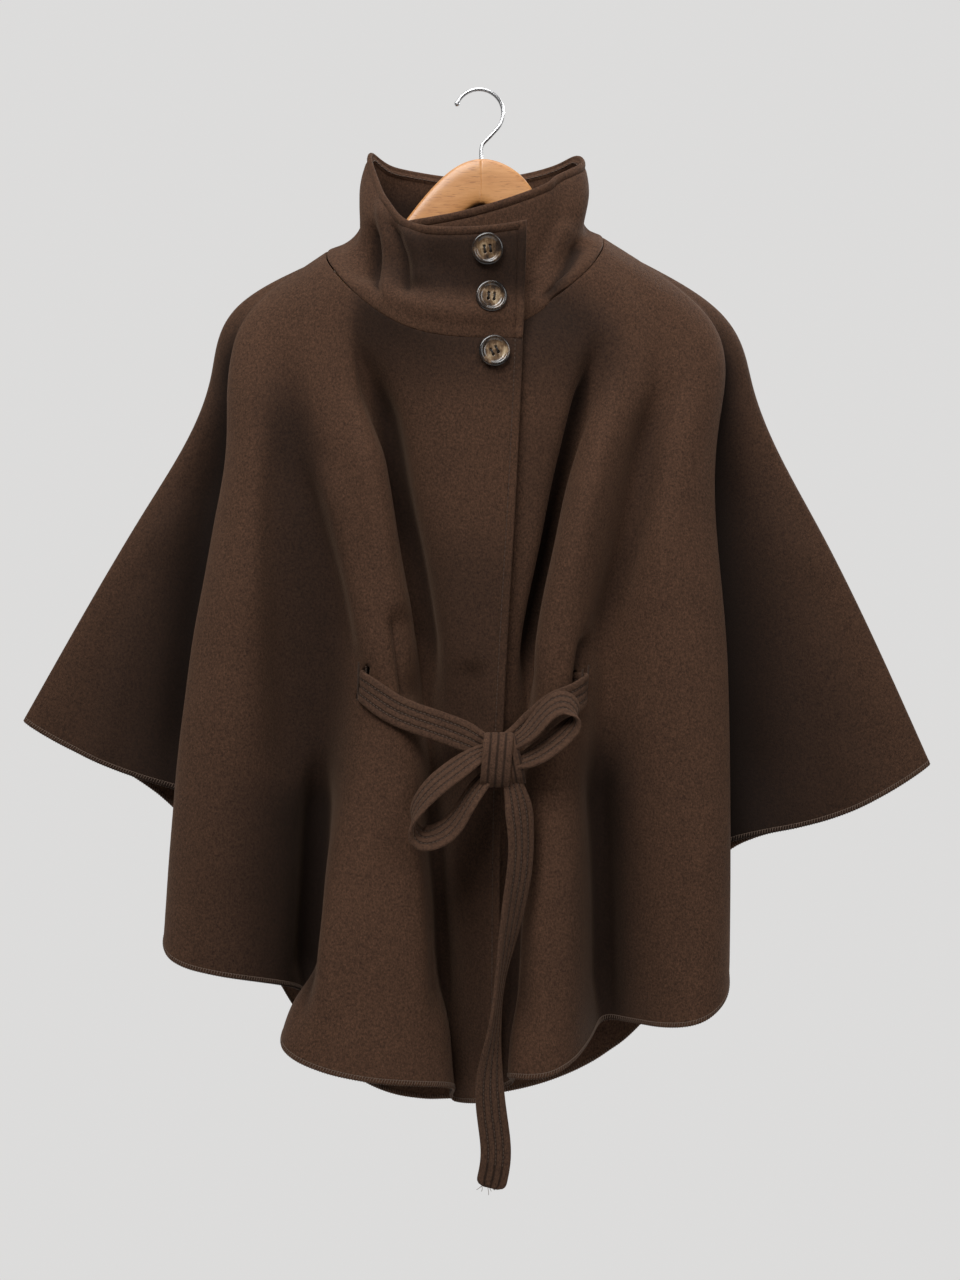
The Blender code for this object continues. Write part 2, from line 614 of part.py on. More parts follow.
collar_buttons = (
    ("button_top", BUTTON_TOP_LAP_SHARE, BUTTON_TOP_PLACE, BUTTON_TOP_LIFT),
    ("button_middle", BUTTON_LAP_SHARE, BUTTON_MIDDLE_PLACE, BUTTON_MIDDLE_LIFT),
)
for name, share, place, lift in collar_buttons:
    button_patch = collar_grid(lap_patch(share), [place + 0.04, place, place - 0.04])
    button_object(name, button_patch, lift)
front_patch = body_grid(
    lap_patch(BUTTON_LAP_SHARE),
    [BUTTON_BOTTOM_PLACE - 0.01, BUTTON_BOTTOM_PLACE, BUTTON_BOTTOM_PLACE + 0.01]
)
button_object("button_bottom", front_patch, CLOTH_WALL + BUTTON_BOTTOM_LIFT)

# Hanger
top_line = smooth_path(np.array([(x, 0.0, z) for x, z in HANGER_TOP]), 38)
under_line = smooth_path(np.array([(x, 0.0, z) for x, z in HANGER_UNDER]), 24)
outline = np.concatenate([top_line, under_line])
wood_mesh = bpy.data.meshes.new("hanger_wood")
wood_mesh.from_pydata((outline * MM).tolist(), [], [list(range(len(outline)))])
wood = add_object(
    "hanger_wood", wood_mesh, plain_material("hanger_wood_tan", wood_tan, 0.45), object_parts
)
board = wood.modifiers.new("board", "SOLIDIFY")
board.thickness = HANGER_THICKNESS * MM
board.offset = 0.0
board_edges = wood.modifiers.new("round", "BEVEL")
board_edges.width = HANGER_ROUND * MM
board_edges.segments = 2
board_edges.limit_method = "ANGLE"
board_edges.angle_limit = math.radians(60)

hook_centre = (0.0, -HOOK_BEND_RADIUS - HOOK_WIRE_RADIUS + 3.6)
hook_points = []
for step in range(23):
    angle = math.radians(HOOK_TIP_ANGLE - step * (HOOK_TIP_ANGLE + 52.0) / 22)
    x = hook_centre[0] + HOOK_BEND_RADIUS * math.cos(angle)
    z = hook_centre[1] + HOOK_BEND_RADIUS * math.sin(angle)
    hook_points.append((x, z))
hook_points += [(7.0, -46.0), (3.2, -50.5), (2.0, -56.0), HOOK_FOOT]
hook_curve = bpy.data.curves.new("hanger_hook", "CURVE")
hook_curve.dimensions = "3D"
hook_line = hook_curve.splines.new("POLY")
hook_line.points.add(len(hook_points) - 1)
for point, (x, z) in zip(hook_line.points, hook_points):
    point.co = (x * MM, 0.0, z * MM, 1.0)
hook_curve.bevel_depth = HOOK_WIRE_RADIUS * MM
hook_curve.bevel_resolution = 2
hook_curve.use_fill_caps = True
add_object(
    "hanger_hook", hook_curve, plain_material("hanger_hook_steel", (0.7, 0.7, 0.7), 0.2, 1.0),
    object_parts,
)
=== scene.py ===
import math

import bpy
import numpy as np
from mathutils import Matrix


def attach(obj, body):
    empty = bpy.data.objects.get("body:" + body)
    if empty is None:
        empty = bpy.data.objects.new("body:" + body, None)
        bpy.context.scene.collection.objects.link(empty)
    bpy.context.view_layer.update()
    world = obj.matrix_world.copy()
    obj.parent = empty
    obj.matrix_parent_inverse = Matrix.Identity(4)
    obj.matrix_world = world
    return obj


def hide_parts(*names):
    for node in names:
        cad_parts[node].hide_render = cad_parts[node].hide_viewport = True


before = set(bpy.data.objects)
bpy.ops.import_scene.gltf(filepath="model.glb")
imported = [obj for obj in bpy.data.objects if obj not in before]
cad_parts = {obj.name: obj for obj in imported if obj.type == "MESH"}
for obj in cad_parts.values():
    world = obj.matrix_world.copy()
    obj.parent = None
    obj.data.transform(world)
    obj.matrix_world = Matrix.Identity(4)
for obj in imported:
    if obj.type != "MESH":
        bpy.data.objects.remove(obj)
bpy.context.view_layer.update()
mm = 0.001  # every table below is in millimetres
print("frame loaded with", len(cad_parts), "nodes")


# shared maths: each row over its own length
def unitRows(vectors):
    return vectors / np.linalg.norm(vectors, axis=-1, keepdims=True)


# eased step from 0 to 1: 3t^2 - 2t^3
def softStep(share):
    share = np.clip(share, 0, 1)
    return share * share * (3 - 2 * share)


# bell: e^-(|aside| / reach)^power
def bell(aside, reach, power=2):
    return np.exp(-np.abs(aside / reach) ** power)


# squared oval: sign(cos)|cos|^power and sign(sin)|sin|^power
def squaredOval(turn, power):
    return [np.sign(wave) * np.abs(wave) ** power for wave in (np.cos(turn), np.sin(turn))]


# natural cubic spline as a matrix: value at each place = weights @ values at the knots
def smoothWeights(knots, places):
    knots = np.asarray(knots, float)
    places = np.asarray(places, float)
    count = len(knots)
    step = np.diff(knots)
    bendSide = np.eye(count)
    valueSide = np.zeros((count, count))
    for i in range(1, count - 1):
        before, after = step[i - 1], step[i]
        bendSide[i, i - 1:i + 2] = (before, 2 * (before + after), after)
        valueSide[i, i - 1:i + 2] = (6 / before, -6 / before - 6 / after, 6 / after)
    bend = np.linalg.solve(bendSide, valueSide)
    span = np.clip(np.searchsorted(knots, places, side="right") - 1, 0, count - 2)
    width = step[span][:, None]
    share = (places - knots[span])[:, None] / width
    rest = 1 - share
    unit = np.eye(count)
    weights = rest * unit[span] + share * unit[span + 1]
    weights += (rest ** 3 - rest) * bend[span] * width ** 2 / 6
    weights += (share ** 3 - share) * bend[span + 1] * width ** 2 / 6
    return weights


# even samples on a smooth curve through the rows, whose first three columns are the place
def smoothPath(rows, count):
    rows = np.asarray(rows, float)
    steps = np.linalg.norm(np.diff(rows[:, :3], axis=0), axis=1)
    knots = np.concatenate([[0.0], np.cumsum(steps)])
    return smoothWeights(knots, np.linspace(0.0, knots[-1], count)) @ rows


# length run so far along one direction of a grid of points
def runLength(points, axis):
    steps = np.linalg.norm(np.diff(points, axis=axis), axis=-1)
    return np.concatenate([np.zeros_like(np.take(steps, [0], axis)), np.cumsum(steps, axis)], axis)


# outward normal of a grid = (step along the ring) x (step down)
def gridNormals(points):
    return unitRows(np.cross(np.gradient(points, axis=0), np.gradient(points, axis=1)))


# values of a line of points at given lengths along it, one column at a time
def pointsAt(line, run, lengths):
    return np.stack([np.interp(lengths, run, column) for column in line.T], -1)


# mesh object, with its place in the mesh; uv and painted shade hold a row for each point
def meshObject(name, points, faceSets, finish, uv=None, shade=None):
    mesh = bpy.data.meshes.new(name)
    faces = [face for faceSet in faceSets for face in faceSet.tolist()]
    mesh.from_pydata((points.reshape(-1, 3) * mm).tolist(), [], faces)
    mesh.shade_smooth()
    if uv is not None:
        corner = np.zeros(len(mesh.loops), np.int32)
        mesh.loops.foreach_get("vertex_index", corner)
        layer = mesh.uv_layers.new(name="cut")
        layer.data.foreach_set("uv", uv.reshape(-1, 2)[corner].astype(np.float32).ravel())
    # painted shade of each point, read by the wool finish
    if shade is not None:
        values = mesh.attributes.new("foldShade", "FLOAT", "POINT").data
        values.foreach_set("value", shade.astype(np.float32))
    mesh.materials.append(finish)
    made = bpy.data.objects.new(name, mesh)
    bpy.context.scene.collection.objects.link(made)
    return made


# piece of the cape or hanger: rides on the one body, and may stand for a solid
def putPiece(name, points, faceSets, finish, uv=None, shade=None, node=None):
    piece = meshObject(name, points, faceSets, finish, uv, shade)
    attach(piece, "root")
    if node:
        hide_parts(node)
    return piece


# quads of a grid of rows x columns, closed round its columns if asked
def gridQuads(rows, columns, wrap=False):
    number = np.arange(rows * columns).reshape(rows, columns)
    if wrap:
        number = np.concatenate([number, number[:, :1]], 1)
    quads = np.stack([number[:-1, :-1], number[1:, :-1], number[1:, 1:], number[:-1, 1:]], -1)
    return quads.reshape(-1, 4)


# faces of a row of rings: quads round it and a cap on each end
def tubeFaces(rings, sides):
    cap = np.arange(sides)[None]
    return [gridQuads(rings, sides, wrap=True), cap, cap[:, ::-1] + (rings - 1) * sides]


# cloth with two faces: middle + normal x half thickness, middle - normal x half thickness,
# and a rim of quads along every open edge, round a cut hole too
def clothPiece(name, node, middle, half, uv, shade, insideShade=None, hole=None):
    rows, columns = middle.shape[:2]
    normal = gridNormals(middle)
    outer = middle + normal * half[..., None]
    inner = middle - normal * half[..., None]
    quads = gridQuads(rows, columns)
    if hole is not None:
        quads = quads[~hole.ravel()]
    edges = np.stack([quads, np.roll(quads, -1, 1)], -1).reshape(-1, 2)
    total = rows * columns
    border = edges[~np.isin(edges[:, 0] * total + edges[:, 1], edges[:, 1] * total + edges[:, 0])]
    rim = np.stack([border[:, 1], border[:, 0], border[:, 0] + total, border[:, 1] + total], 1)
    faces = np.concatenate([quads, quads[:, ::-1] + total, rim])
    points = np.concatenate([outer.reshape(-1, 3), inner.reshape(-1, 3)])
    flatUv = np.concatenate([uv.reshape(-1, 2)] * 2)
    # painted shade on the inner face: half the outer face's unless given
    insideShade = 0.5 * shade if insideShade is None else insideShade
    bothShades = np.concatenate([shade.ravel(), insideShade.ravel()])
    used, faces = np.unique(faces, return_inverse=True)
    faces = [faces.reshape(-1, 4)]
    piece = putPiece(name, points[used], faces, wool, flatUv[used], bothShades[used], node)
    return {"piece": piece, "outer": outer, "inner": inner, "normal": normal}


# round rods along many short paths at once: circle carried along each path, both ends capped
def rodMesh(paths, radius, sides, upright):
    count, steps = paths.shape[:2]
    ahead = unitRows(np.gradient(paths, axis=1))
    sideA = unitRows(np.cross(ahead, np.broadcast_to(upright, paths.shape)))
    sideB = np.cross(sideA, ahead)
    turn = np.linspace(0, 2 * np.pi, sides, endpoint=False)
    radius = np.broadcast_to(radius, paths.shape[:2])[..., None, None]
    ring = np.cos(turn)[:, None] * sideA[..., None, :] + np.sin(turn)[:, None] * sideB[..., None, :]
    points = paths[..., None, :] + ring * radius
    first = np.arange(count)[:, None, None] * steps * sides
    faceSets = [(faces + first).reshape(-1, faces.shape[1]) for faces in tubeFaces(steps, sides)]
    return points.reshape(-1, 3), faceSets


# shader maths
class Wire:  # a node socket that adds Math nodes when it is used in an expression
    def __init__(self, tree, socket):
        self.tree, self.socket = tree, socket

    def math(self, operation, first, second):
        node = self.tree.nodes.new("ShaderNodeMath")
        node.operation = operation
        for slot, value in zip(node.inputs, (first, second)):
            plug(self.tree, slot, value)
        return Wire(self.tree, node.outputs[0])

    def __add__(self, other):
        return self.math("ADD", self, other)

    def __sub__(self, other):
        return self.math("SUBTRACT", self, other)

    def __rsub__(self, other):
        return self.math("SUBTRACT", other, self)

    def __mul__(self, other):
        return self.math("MULTIPLY", self, other)

    def __pow__(self, other):
        return self.math("POWER", self, other)

    __radd__ = __add__
    __rmul__ = __mul__


def plug(tree, slot, value):
    if isinstance(value, Wire):
        tree.links.new(value.socket, slot)
    else:
        slot.default_value = value


class Nodes:  # a node tree and what is put in it
    def __init__(self, tree):
        self.tree = tree

    # any node: its type, its settings, then the values or links of its sockets
    def node(self, kind, settings, sockets, out=0):
        made = self.tree.nodes.new("ShaderNode" + kind)
        for name, value in settings.items():
            if name == "stops":
                ramp = made.color_ramp
                while len(ramp.elements) < len(value):
                    ramp.elements.new(0.5)
                for element, (place, colour) in zip(ramp.elements, value):
                    element.position = place
                    element.color = (*colour, 1.0)
            else:
                setattr(made, name, value)
        for name, value in sockets.items():
            plug(self.tree, made.inputs[name], value)
        return Wire(self.tree, made.outputs[out])

    def place(self, stretch=(1, 1, 1), turn=(0, 0, 0), uv=False):
        coords = self.node("TexCoord", {}, {}, "UV" if uv else "Object")
        return self.node("Mapping", {}, {"Vector": coords, "Scale": stretch, "Rotation": turn})

    def noise(self, where, scale, detail=3.0, roughness=0.6):
        sockets = {"Vector": where, "Scale": scale, "Detail": detail, "Roughness": roughness}
        return self.node("TexNoise", {}, sockets)

    def blend(self, share, *colours):
        first, second = [(*tone, 1.0) if isinstance(tone, tuple) else tone for tone in colours]
        return self.node("Mix", {"data_type": "RGBA"}, {0: share, 6: first, 7: second}, 2)

    def ramp(self, value, stops):
        return self.node("ValToRGB", {"stops": stops}, {"Fac": value})

    def bump(self, height, strength, distance):
        sockets = {"Height": height, "Strength": strength, "Distance": distance}
        return self.node("Bump", {}, sockets)


class Finish(Nodes):  # one material
    def __init__(self, name):
        self.material = bpy.data.materials.new(name)
        self.material.use_nodes = True
        super().__init__(self.material.node_tree)
        self.shader = self.tree.nodes["Principled BSDF"]

    def wear(self, **sockets):
        for name, value in sockets.items():
            plug(self.tree, self.shader.inputs[name.replace("_", " ")], value)
        return self.material


# napped wool: slow tone drift, heathered specks and short fibres, raised a little; painted shade darkens it in
# deep folds and stitched grooves
def woolFinish(name, light, dark, speckScale, fibreScale, grain, grooves=()):
    finish = Finish(name)
    here = finish.place()
    drift = finish.noise(here, 14.0, 2.0)
    specks = finish.noise(here, speckScale, 4.0, 0.7)
    fibres = finish.noise(finish.place((1.0, 1.0, 0.35)), fibreScale, 3.0, 0.65)
    share = drift * 0.3 + specks * 2.0 + fibres * 1.5 - 1.42
    # painted shade: the foldShade value of each point darkens the colour in folds and recesses
    paintedShade = finish.node("Attribute", {"attribute_name": "foldShade"}, {}, "Fac")  # 0 on other pieces
    across = finish.node("SeparateXYZ", {}, {"Vector": finish.place(uv=True)}, 0)
    # painted shadow along each stitched groove, added to the painted shade
    for groove in grooves:  # shadow in each stitched groove, by distance across the belt
        aside = across - groove * mm
        aside = aside.math("ABSOLUTE", aside, 0.0)
        ends = {"From Min": 0.0004, "From Max": 0.0016, "To Min": 0.7, "To Max": 0.0}
        paintedShade = paintedShade + finish.node("MapRange", {}, {"Value": aside, **ends})
    # colour at full painted shade
    fullShadeColour = tuple(0.22 * tone for tone in dark)
    colour = finish.blend(paintedShade, finish.blend(share, dark, light), fullShadeColour)
    nap = specks * 0.6 + fibres
    return finish.wear(
        Base_Color=colour, Roughness=0.78 + fibres * 0.2, Normal=finish.bump(nap, grain, 0.0007),
        Sheen_Weight=0.13, Sheen_Roughness=0.42, Sheen_Tint=(0.66, 0.42, 0.28, 1.0),
        Specular_IOR_Level=0.18,
    )


# twisted thread: fine bands of two tones
def threadFinish(name, light, dark):
    finish = Finish(name)
    twist = finish.noise(finish.place((1.0, 1.0, 1.6)), 1600.0, 2.0)
    colour = finish.blend(twist, dark, light)
    return finish.wear(Base_Color=colour, Roughness=0.62 + twist * 0.2,
                       Normal=finish.bump(twist, 0.4, 0.0003))


# horn-look button: marbled streaks, dark rim; the map's first value runs from centre to rim
def hornFinish(name, seed):
    finish = Finish(name)
    uv = finish.place(uv=True)
    split = finish.node("SeparateXYZ", {}, {"Vector": uv}, 0)
    cloud = finish.noise(finish.place((1.0, 1.0, 1.0), (seed, seed * 0.7, seed * 1.9)), 62.0, 4.0, 0.6)
    streak = finish.noise(finish.place((2.6, 2.6, 0.7), (0.4, seed, 0.2)), 150.0, 3.0)
    marble = cloud * 0.95 + streak * 0.3 - split ** 3.0 * 0.3
    stops = [(0.30, (0.008, 0.006, 0.005)), (0.47, (0.035, 0.021, 0.013)),
             (0.58, (0.14, 0.083, 0.042)), (0.72, (0.42, 0.31, 0.19))]
    return finish.wear(Base_Color=finish.ramp(marble, stops), Roughness=0.16 + streak * 0.16,
                       Coat_Weight=0.6, Coat_Roughness=0.12)


# varnished wood: slow bands, fine grain and dark pores, all drawn out along the arms
def woodFinish(name):
    finish = Finish(name)
    grainPlace = finish.place((3.2, 12.0, 26.0), (0.0, 0.05, 0.0))
    drift = finish.noise(grainPlace, 2.2, 3.0)
    grain = finish.noise(grainPlace, 16.0, 4.0, 0.7)
    pores = finish.noise(finish.place((18.0, 120.0, 220.0)), 5.0, 2.0)
    noPore = finish.node("MapRange", {}, {"Value": pores, "From Min": 0.3, "From Max": 0.42})
    colour = finish.ramp(drift * 0.6 + grain * 0.5,
                         [(0.33, (0.42, 0.17, 0.05)), (0.52, (0.53, 0.24, 0.078)),
                          (0.72, (0.61, 0.30, 0.11))])
    colour = finish.blend(noPore, (0.33, 0.13, 0.04), colour)
    return finish.wear(Base_Color=colour, Roughness=0.34 + grain * 0.16,
                       Normal=finish.bump(grain * 0.6 + pores * 0.4, 0.12, 0.0004),
                       Coat_Weight=0.35, Coat_Roughness=0.2)


# bright wire: metal with faint scuffs
def steelFinish(name):
    finish = Finish(name)
    scuff = finish.noise(finish.place((1.0, 1.0, 4.0)), 60.0, 3.0)
    colour = finish.blend(scuff, (0.60, 0.60, 0.61), (0.76, 0.76, 0.77))
    return finish.wear(Base_Color=colour, Metallic=1.0, Roughness=0.2 + scuff * 0.12)


wool = woolFinish("wool_coating", (0.104, 0.051, 0.0285), (0.0265, 0.0125, 0.007), 440.0, 1300.0, 0.7)
# belt wool: painted shadow along its three stitched grooves
beltWool = woolFinish("belt_wool", (0.106, 0.055, 0.033), (0.027, 0.0135, 0.0082), 480.0, 1600.0, 0.6,
                      (-6.6, 0.0, 6.6))
threadTones = {  # light, dark
    "sewing_thread": ((0.125, 0.078, 0.052), (0.045, 0.027, 0.018)),
    "edge_thread": ((0.078, 0.042, 0.025), (0.030, 0.017, 0.010)),
    "hem_thread": ((0.17, 0.112, 0.078), (0.07, 0.043, 0.029)),
    "button_thread": ((0.020, 0.014, 0.011), (0.006, 0.005, 0.004)),
}
thread, woolThread, paleThread, darkThread = (threadFinish(name, *tones) for name, tones in threadTones.items())
print("finishes made")


# the cloth's form: the same fold lines as the solids
neckSizes = {
    "centreX": -13, "middleY": -22, "halfWidth": 128, "frontDepth": 66, "backDepth": 49,
    "frontZ": -247, "backZ": -168, "rightZ": -153, "leftZ": -140, "dip": 2.2,
    "lapInset": 12, "lapStart": -292, "lapLength": 34,
}
fallPlace = (0.0, 0.13, 0.27, 0.58, 1.0)  # neck seam, yoke, chest, waist, hem
waist = fallPlace[3]
fallShare = {"chest": 0.16, "waist": 0.49}  # of the drop from yoke to hem
# neck angle | yoke x y z | chest x y | waist x y | hem x y z
foldTable = {
    "overEdge": (24, 38, -84, -277, 33, -78, 22, -72, 19, -52, -934),
    "centreFlat": (-14, -35, -84, -280, -30, -74, -19, -58, -3, -40, -940),
    "innerValley": (-38, -97, -62, -263, -76, -44, -46, -28, -25, -22, -942),
    "coneInner": (-48, -115, -62, -255, -94, -60, -59, -58, -26, -66, -920),
    "coneCrest": (-55, -131, -58, -248, -111, -69, -80, -76, -100, -104, -904),
    "coneOuter": (-62, -152, -52, -243, -135, -61, -104, -64, -173, -84, -881),
    "recess": (-72, -173, -44, -237, -168, -45, -147, -30, -158, -8, -853),
    "sideCrest": (-84, -200, -34, -232, -204, -52, -213, -70, -228, -74, -818),
    "sideEdge": (-94, -214, -24, -227, -228, -34, -256, -44, -287, -44, -795),
    "sideTurn": (-102, -217, -15, -219, -228, -11, -240, -7, -232, 0, -693),
    "wingFront": (-110, -220, -9, -211, -243, -5, -290, -4, -348, -3, -635),
    "rightRidge": (-117, -223, 0, -202, -250, 6, -313, 8, -429, 10, -593),
    "wingBack": (-124, -220, 10, -211, -245, 17, -292, 20, -350, 22, -634),
    "turnBack": (-134, -205, 20, -216, -222, 24, -240, 25, -262, 22, -710),
    "fluteRight": (-146, -165, 28, -220, -178, 36, -190, 44, -205, 46, -826),
    "hollowRight": (-160, -105, 30, -215, -110, 28, -112, 26, -112, 24, -936),
    "centreBack": (-180, -5, 32, -205, -4, 36, -3, 42, -2, 46, -957),
    "hollowLeft": (-200, 95, 30, -208, 104, 28, 108, 26, 112, 24, -916),
    "fluteLeft": (-214, 160, 28, -214, 172, 36, 178, 44, 182, 46, -850),
    "turnBackLeft": (-226, 202, 20, -214, 214, 24, 220, 25, 232, 22, -722),
    "wingBackLeft": (-236, 216, 10, -212, 242, 17, 286, 20, 350, 22, -677),
    "leftRidge": (-243, 219, 0, -204, 255, 6, 321, 8, 425, 10, -634),
    "wingFrontLeft": (-250, 216, -9, -212, 243, -5, 285, -4, 348, -3, -677),
    "sideTurnLeft": (-258, 213, -15, -219, 220, -12, 212, -8, 206, 0, -730),
    "sideEdgeLeft": (-266, 210, -24, -227, 214, -36, 220, -45, 227, -44, -836),
    "sideCrestLeft": (-276, 194, -34, -232, 188, -52, 181, -64, 190, -68, -863),
    "recessLeft": (-288, 163, -42, -237, 150, -44, 118, -32, 118, -10, -871),
    "coneOuterLeft": (-298, 147, -50, -243, 129, -61, 93, -66, 91, -72, -886),
    "coneCrestLeft": (-305, 133, -54, -248, 112, -71, 71, -80, 58, -98, -902),
    "coneInnerLeft": (-312, 121, -58, -253, 101, -64, 53, -67, 30, -80, -907),
    "innerValleyLeft": (-320, 100, -62, -261, 84, -45, 43, -46, 31, -50, -920),
    "underFlat": (-332, 68, -74, -272, 58, -66, 26, -57, 12, -42, -928),
    "underMiddle": (-356, 18, -77, -279, 14, -67, 7, -55, -1, -34, -932),
    "underEdge": (-381, -42, -75, -277, -30, -65, -14, -48, -15, -24, -934),
}
foldNames = list(foldTable)
foldRows = np.array(list(foldTable.values()), float)


# neck seam: an oval whose front dips, drawn in a little under the lap
def neckSeam(angle):
    n = neckSizes
    across, ahead = np.sin(np.radians(angle)), np.cos(np.radians(angle))
    inset = n["lapInset"] * softStep((n["lapStart"] - angle) / n["lapLength"])
    depth = np.where(ahead > 0, n["frontDepth"], n["backDepth"]) - inset
    shoulder = np.where(across < 0, n["rightZ"], n["leftZ"])
    turnAhead = n["middleY"] / n["backDepth"]
    lapAhead = np.cos(np.radians(np.minimum(angle, 0)))  # level under the lap
    front = np.clip((lapAhead - turnAhead) / (1 - turnAhead), 0, 1) ** n["dip"]
    back = np.clip((turnAhead - ahead) / (1 + turnAhead), 0, 1)
    z = shoulder + (n["frontZ"] - shoulder) * front + (n["backZ"] - shoulder) * back
    x = n["centreX"] + (n["halfWidth"] - inset) * across
    return np.stack([x, n["middleY"] - depth * ahead, z], -1)


neck, yokeX, yokeY, yokeZ, chestX, chestY, waistX, waistY, hemX, hemY, hemZ = foldRows.T
drop = hemZ - yokeZ
foldLines = np.stack([
    neckSeam(neck),
    np.stack([yokeX, yokeY, yokeZ], -1),
    np.stack([chestX, chestY, yokeZ + fallShare["chest"] * drop], -1),
    np.stack([waistX, waistY, yokeZ + fallShare["waist"] * drop], -1),
    np.stack([hemX, hemY, hemZ], -1),
], 1)
foldSteps = np.linalg.norm(np.diff(foldLines[:, 3:], axis=0), axis=-1).mean(1)
foldPlace = np.concatenate([[0.0], np.cumsum(foldSteps)])


# where a fold line lies across the cloth
def placeOf(name):
    return foldPlace[foldNames.index(name)]


# inner face of the body: sum of (weight across the folds) x (weight down the fall) x line points
def bodySurface(along, down):
    across = smoothWeights(foldPlace, np.ravel(along))
    fall = smoothWeights(fallPlace, np.ravel(down))
    points = np.einsum("nr,ns,rsk->nk", across, fall, foldLines, optimize=True)
    return points.reshape(*np.shape(along), 3)


# one place of the body: its point, the pulls across and down from small steps, and their cross
def bodyFrame(along, down):
    step, small = 0.5, 0.002
    places = np.array([along, along - step, along + step, along, along])
    falls = np.array([down, down, down, down - small, down + small])
    point, before, after, above, below = bodySurface(places, falls)
    ringPull, fallPull = (after - before) / (2 * step), (below - above) / (2 * small)
    return point, ringPull, fallPull, unitRows(np.cross(ringPull, fallPull))


# lengths along a line: close steps at both ends, even ones between
def spread(count, total, start, end):
    start, end, total = np.asarray(start), np.asarray(end), np.asarray(total)[:, None]
    between = start[-1] + np.linspace(0, 1, count) * (total - start[-1] - end[-1])
    head = np.broadcast_to(start[:-1], (len(total), len(start) - 1))
    return np.concatenate([head, between, total - end[-2::-1]], 1)


# grid places whose lines keep their distance from the four edges:
# each row, then each column, is cut at given lengths along itself
def evenGrid(surface, span, columns, rows, edges):
    fine, level = np.linspace(*span, 500), np.linspace(0, 1, 120)
    length = runLength(surface(*np.meshgrid(fine, level, indexing="ij")), 0)
    cut = spread(columns, length[-1], edges["start"], edges["end"])
    along = np.stack([np.interp(c, run, fine) for c, run in zip(cut, length.T)], 1)
    fall = runLength(surface(along, np.broadcast_to(level, along.shape)), 1)
    fromTop = spread(rows, fall[:, -1], edges["top"], edges["hem"])
    down = np.stack([np.interp(c, run, level) for c, run in zip(fromTop, fall)])
    grid = {"down": down, "fromTop": fromTop, "toHem": fall[:, -1:] - fromTop}
    grid["along"] = np.stack([np.interp(d, level, a) for d, a in zip(down, along)])
    grid["fromStart"] = np.stack([np.interp(d, level, c) for d, c in zip(down, cut.T)])
    grid["toEnd"] = np.interp(down, level, length[-1]) - grid["fromStart"]
    return grid


# creases: strokes down the cloth, each a smooth line x(z) seen from the front;
# depth x bell across the line, with its own width on each side, x fade at both ends
def creaseDepth(points, creases):
    x, z = points[..., 0], points[..., 2]
    depth = np.zeros(x.shape)
    for deep, left, right, *line in creases:
        lineX, lineZ = np.array(line[::-1], float).T
        within = np.clip(z, lineZ[0], lineZ[-1]).ravel()
        middle = (smoothWeights(lineZ, within) @ lineX).reshape(x.shape)
        lean = math.hypot(1.0, (lineX[-1] - lineX[0]) / (lineZ[-1] - lineZ[0]))
        aside = (x - middle) / lean
        share = (z - lineZ[0]) / (lineZ[-1] - lineZ[0])
        fade = softStep(np.minimum(share, 1 - share) / 0.24)
        depth += deep * bell(aside, np.where(aside < 0, left, right)) * fade
    return depth


# area of a grid in square metres: sum of |step along x step down|
def gridArea(points):
    cells = np.cross(np.diff(points, axis=0)[:, :-1], np.diff(points, axis=1)[:-1])
    return np.linalg.norm(cells, axis=-1).sum() * mm * mm


# widest and longest size of a grid in metres
def flatSize(grid):
    wide, long = (grid["fromStart"] + grid["toEnd"]).max(), (grid["fromTop"] + grid["toHem"]).max()
    return round(wide * mm, 3), round(long * mm, 3)


# slow unevenness: a few sine waves in seeded directions
def drift(points, seed, size, shortest, longest):
    draw = np.random.default_rng(seed)
    total = np.zeros(points.shape[:-1])
    for _ in range(7):
        way = unitRows(draw.normal(size=3) * (1, 0.6, 0.55))
        wave = 2 * np.pi / draw.uniform(shortest, longest)
        total += np.sin(points @ way * wave + draw.uniform(0, 2 * np.pi)) * draw.uniform(0.4, 1)
    return total * size / 3


# rounded cloth edge: half thickness falls off as a quarter circle towards the edge
def edgeHalf(distance, half, reach):
    share = np.clip(distance / reach, 0, 1)
    return half * (0.22 + 0.78 * np.sqrt(1 - (1 - share) ** 2))


plainEdge = (0, 0.35, 0.9, 1.7, 3.0)
hemEdge = (0, 0.35, 0.9, 1.7, 3.0, 4.4, 6.2)
stitchEdge = (0, 0.35, 0.9, 1.7, 3.0, 4.4, 5.4, 6.1, 6.6, 7.0, 7.4, 7.9, 8.7, 10.0, 12.0)
bodyCloth = {
    "wall": 2.4, "roundReach": 1.6, "seamGap": 0.15, "seamDeep": 0.35, "seamWide": 1.4,
    "grooveAt": 7.0, "grooveDeep": 0.75, "grooveWide": 0.9, "edgeHigh": 0.45, "edgeWide": 6.0,
    # how far from the sides and the neck seam unevenness and folds fade in
    "sideFade": 60, "neckFade": 50, "foldFade": 26,
    # crease depth with the full painted shade; reach of a painted shade's upper and lower end
    "fullShadeDepth": 17, "shadeFadeAbove": 90, "shadeFadeBelow": 110,
    # unevenness all over and near the hem: size, shortest and longest wave
    "drift": (1.0, 70, 190), "hemDrift": (0.7, 22, 60), "hemReach": 14,
}
slit = {"width": 9.0, "height": 31.0}


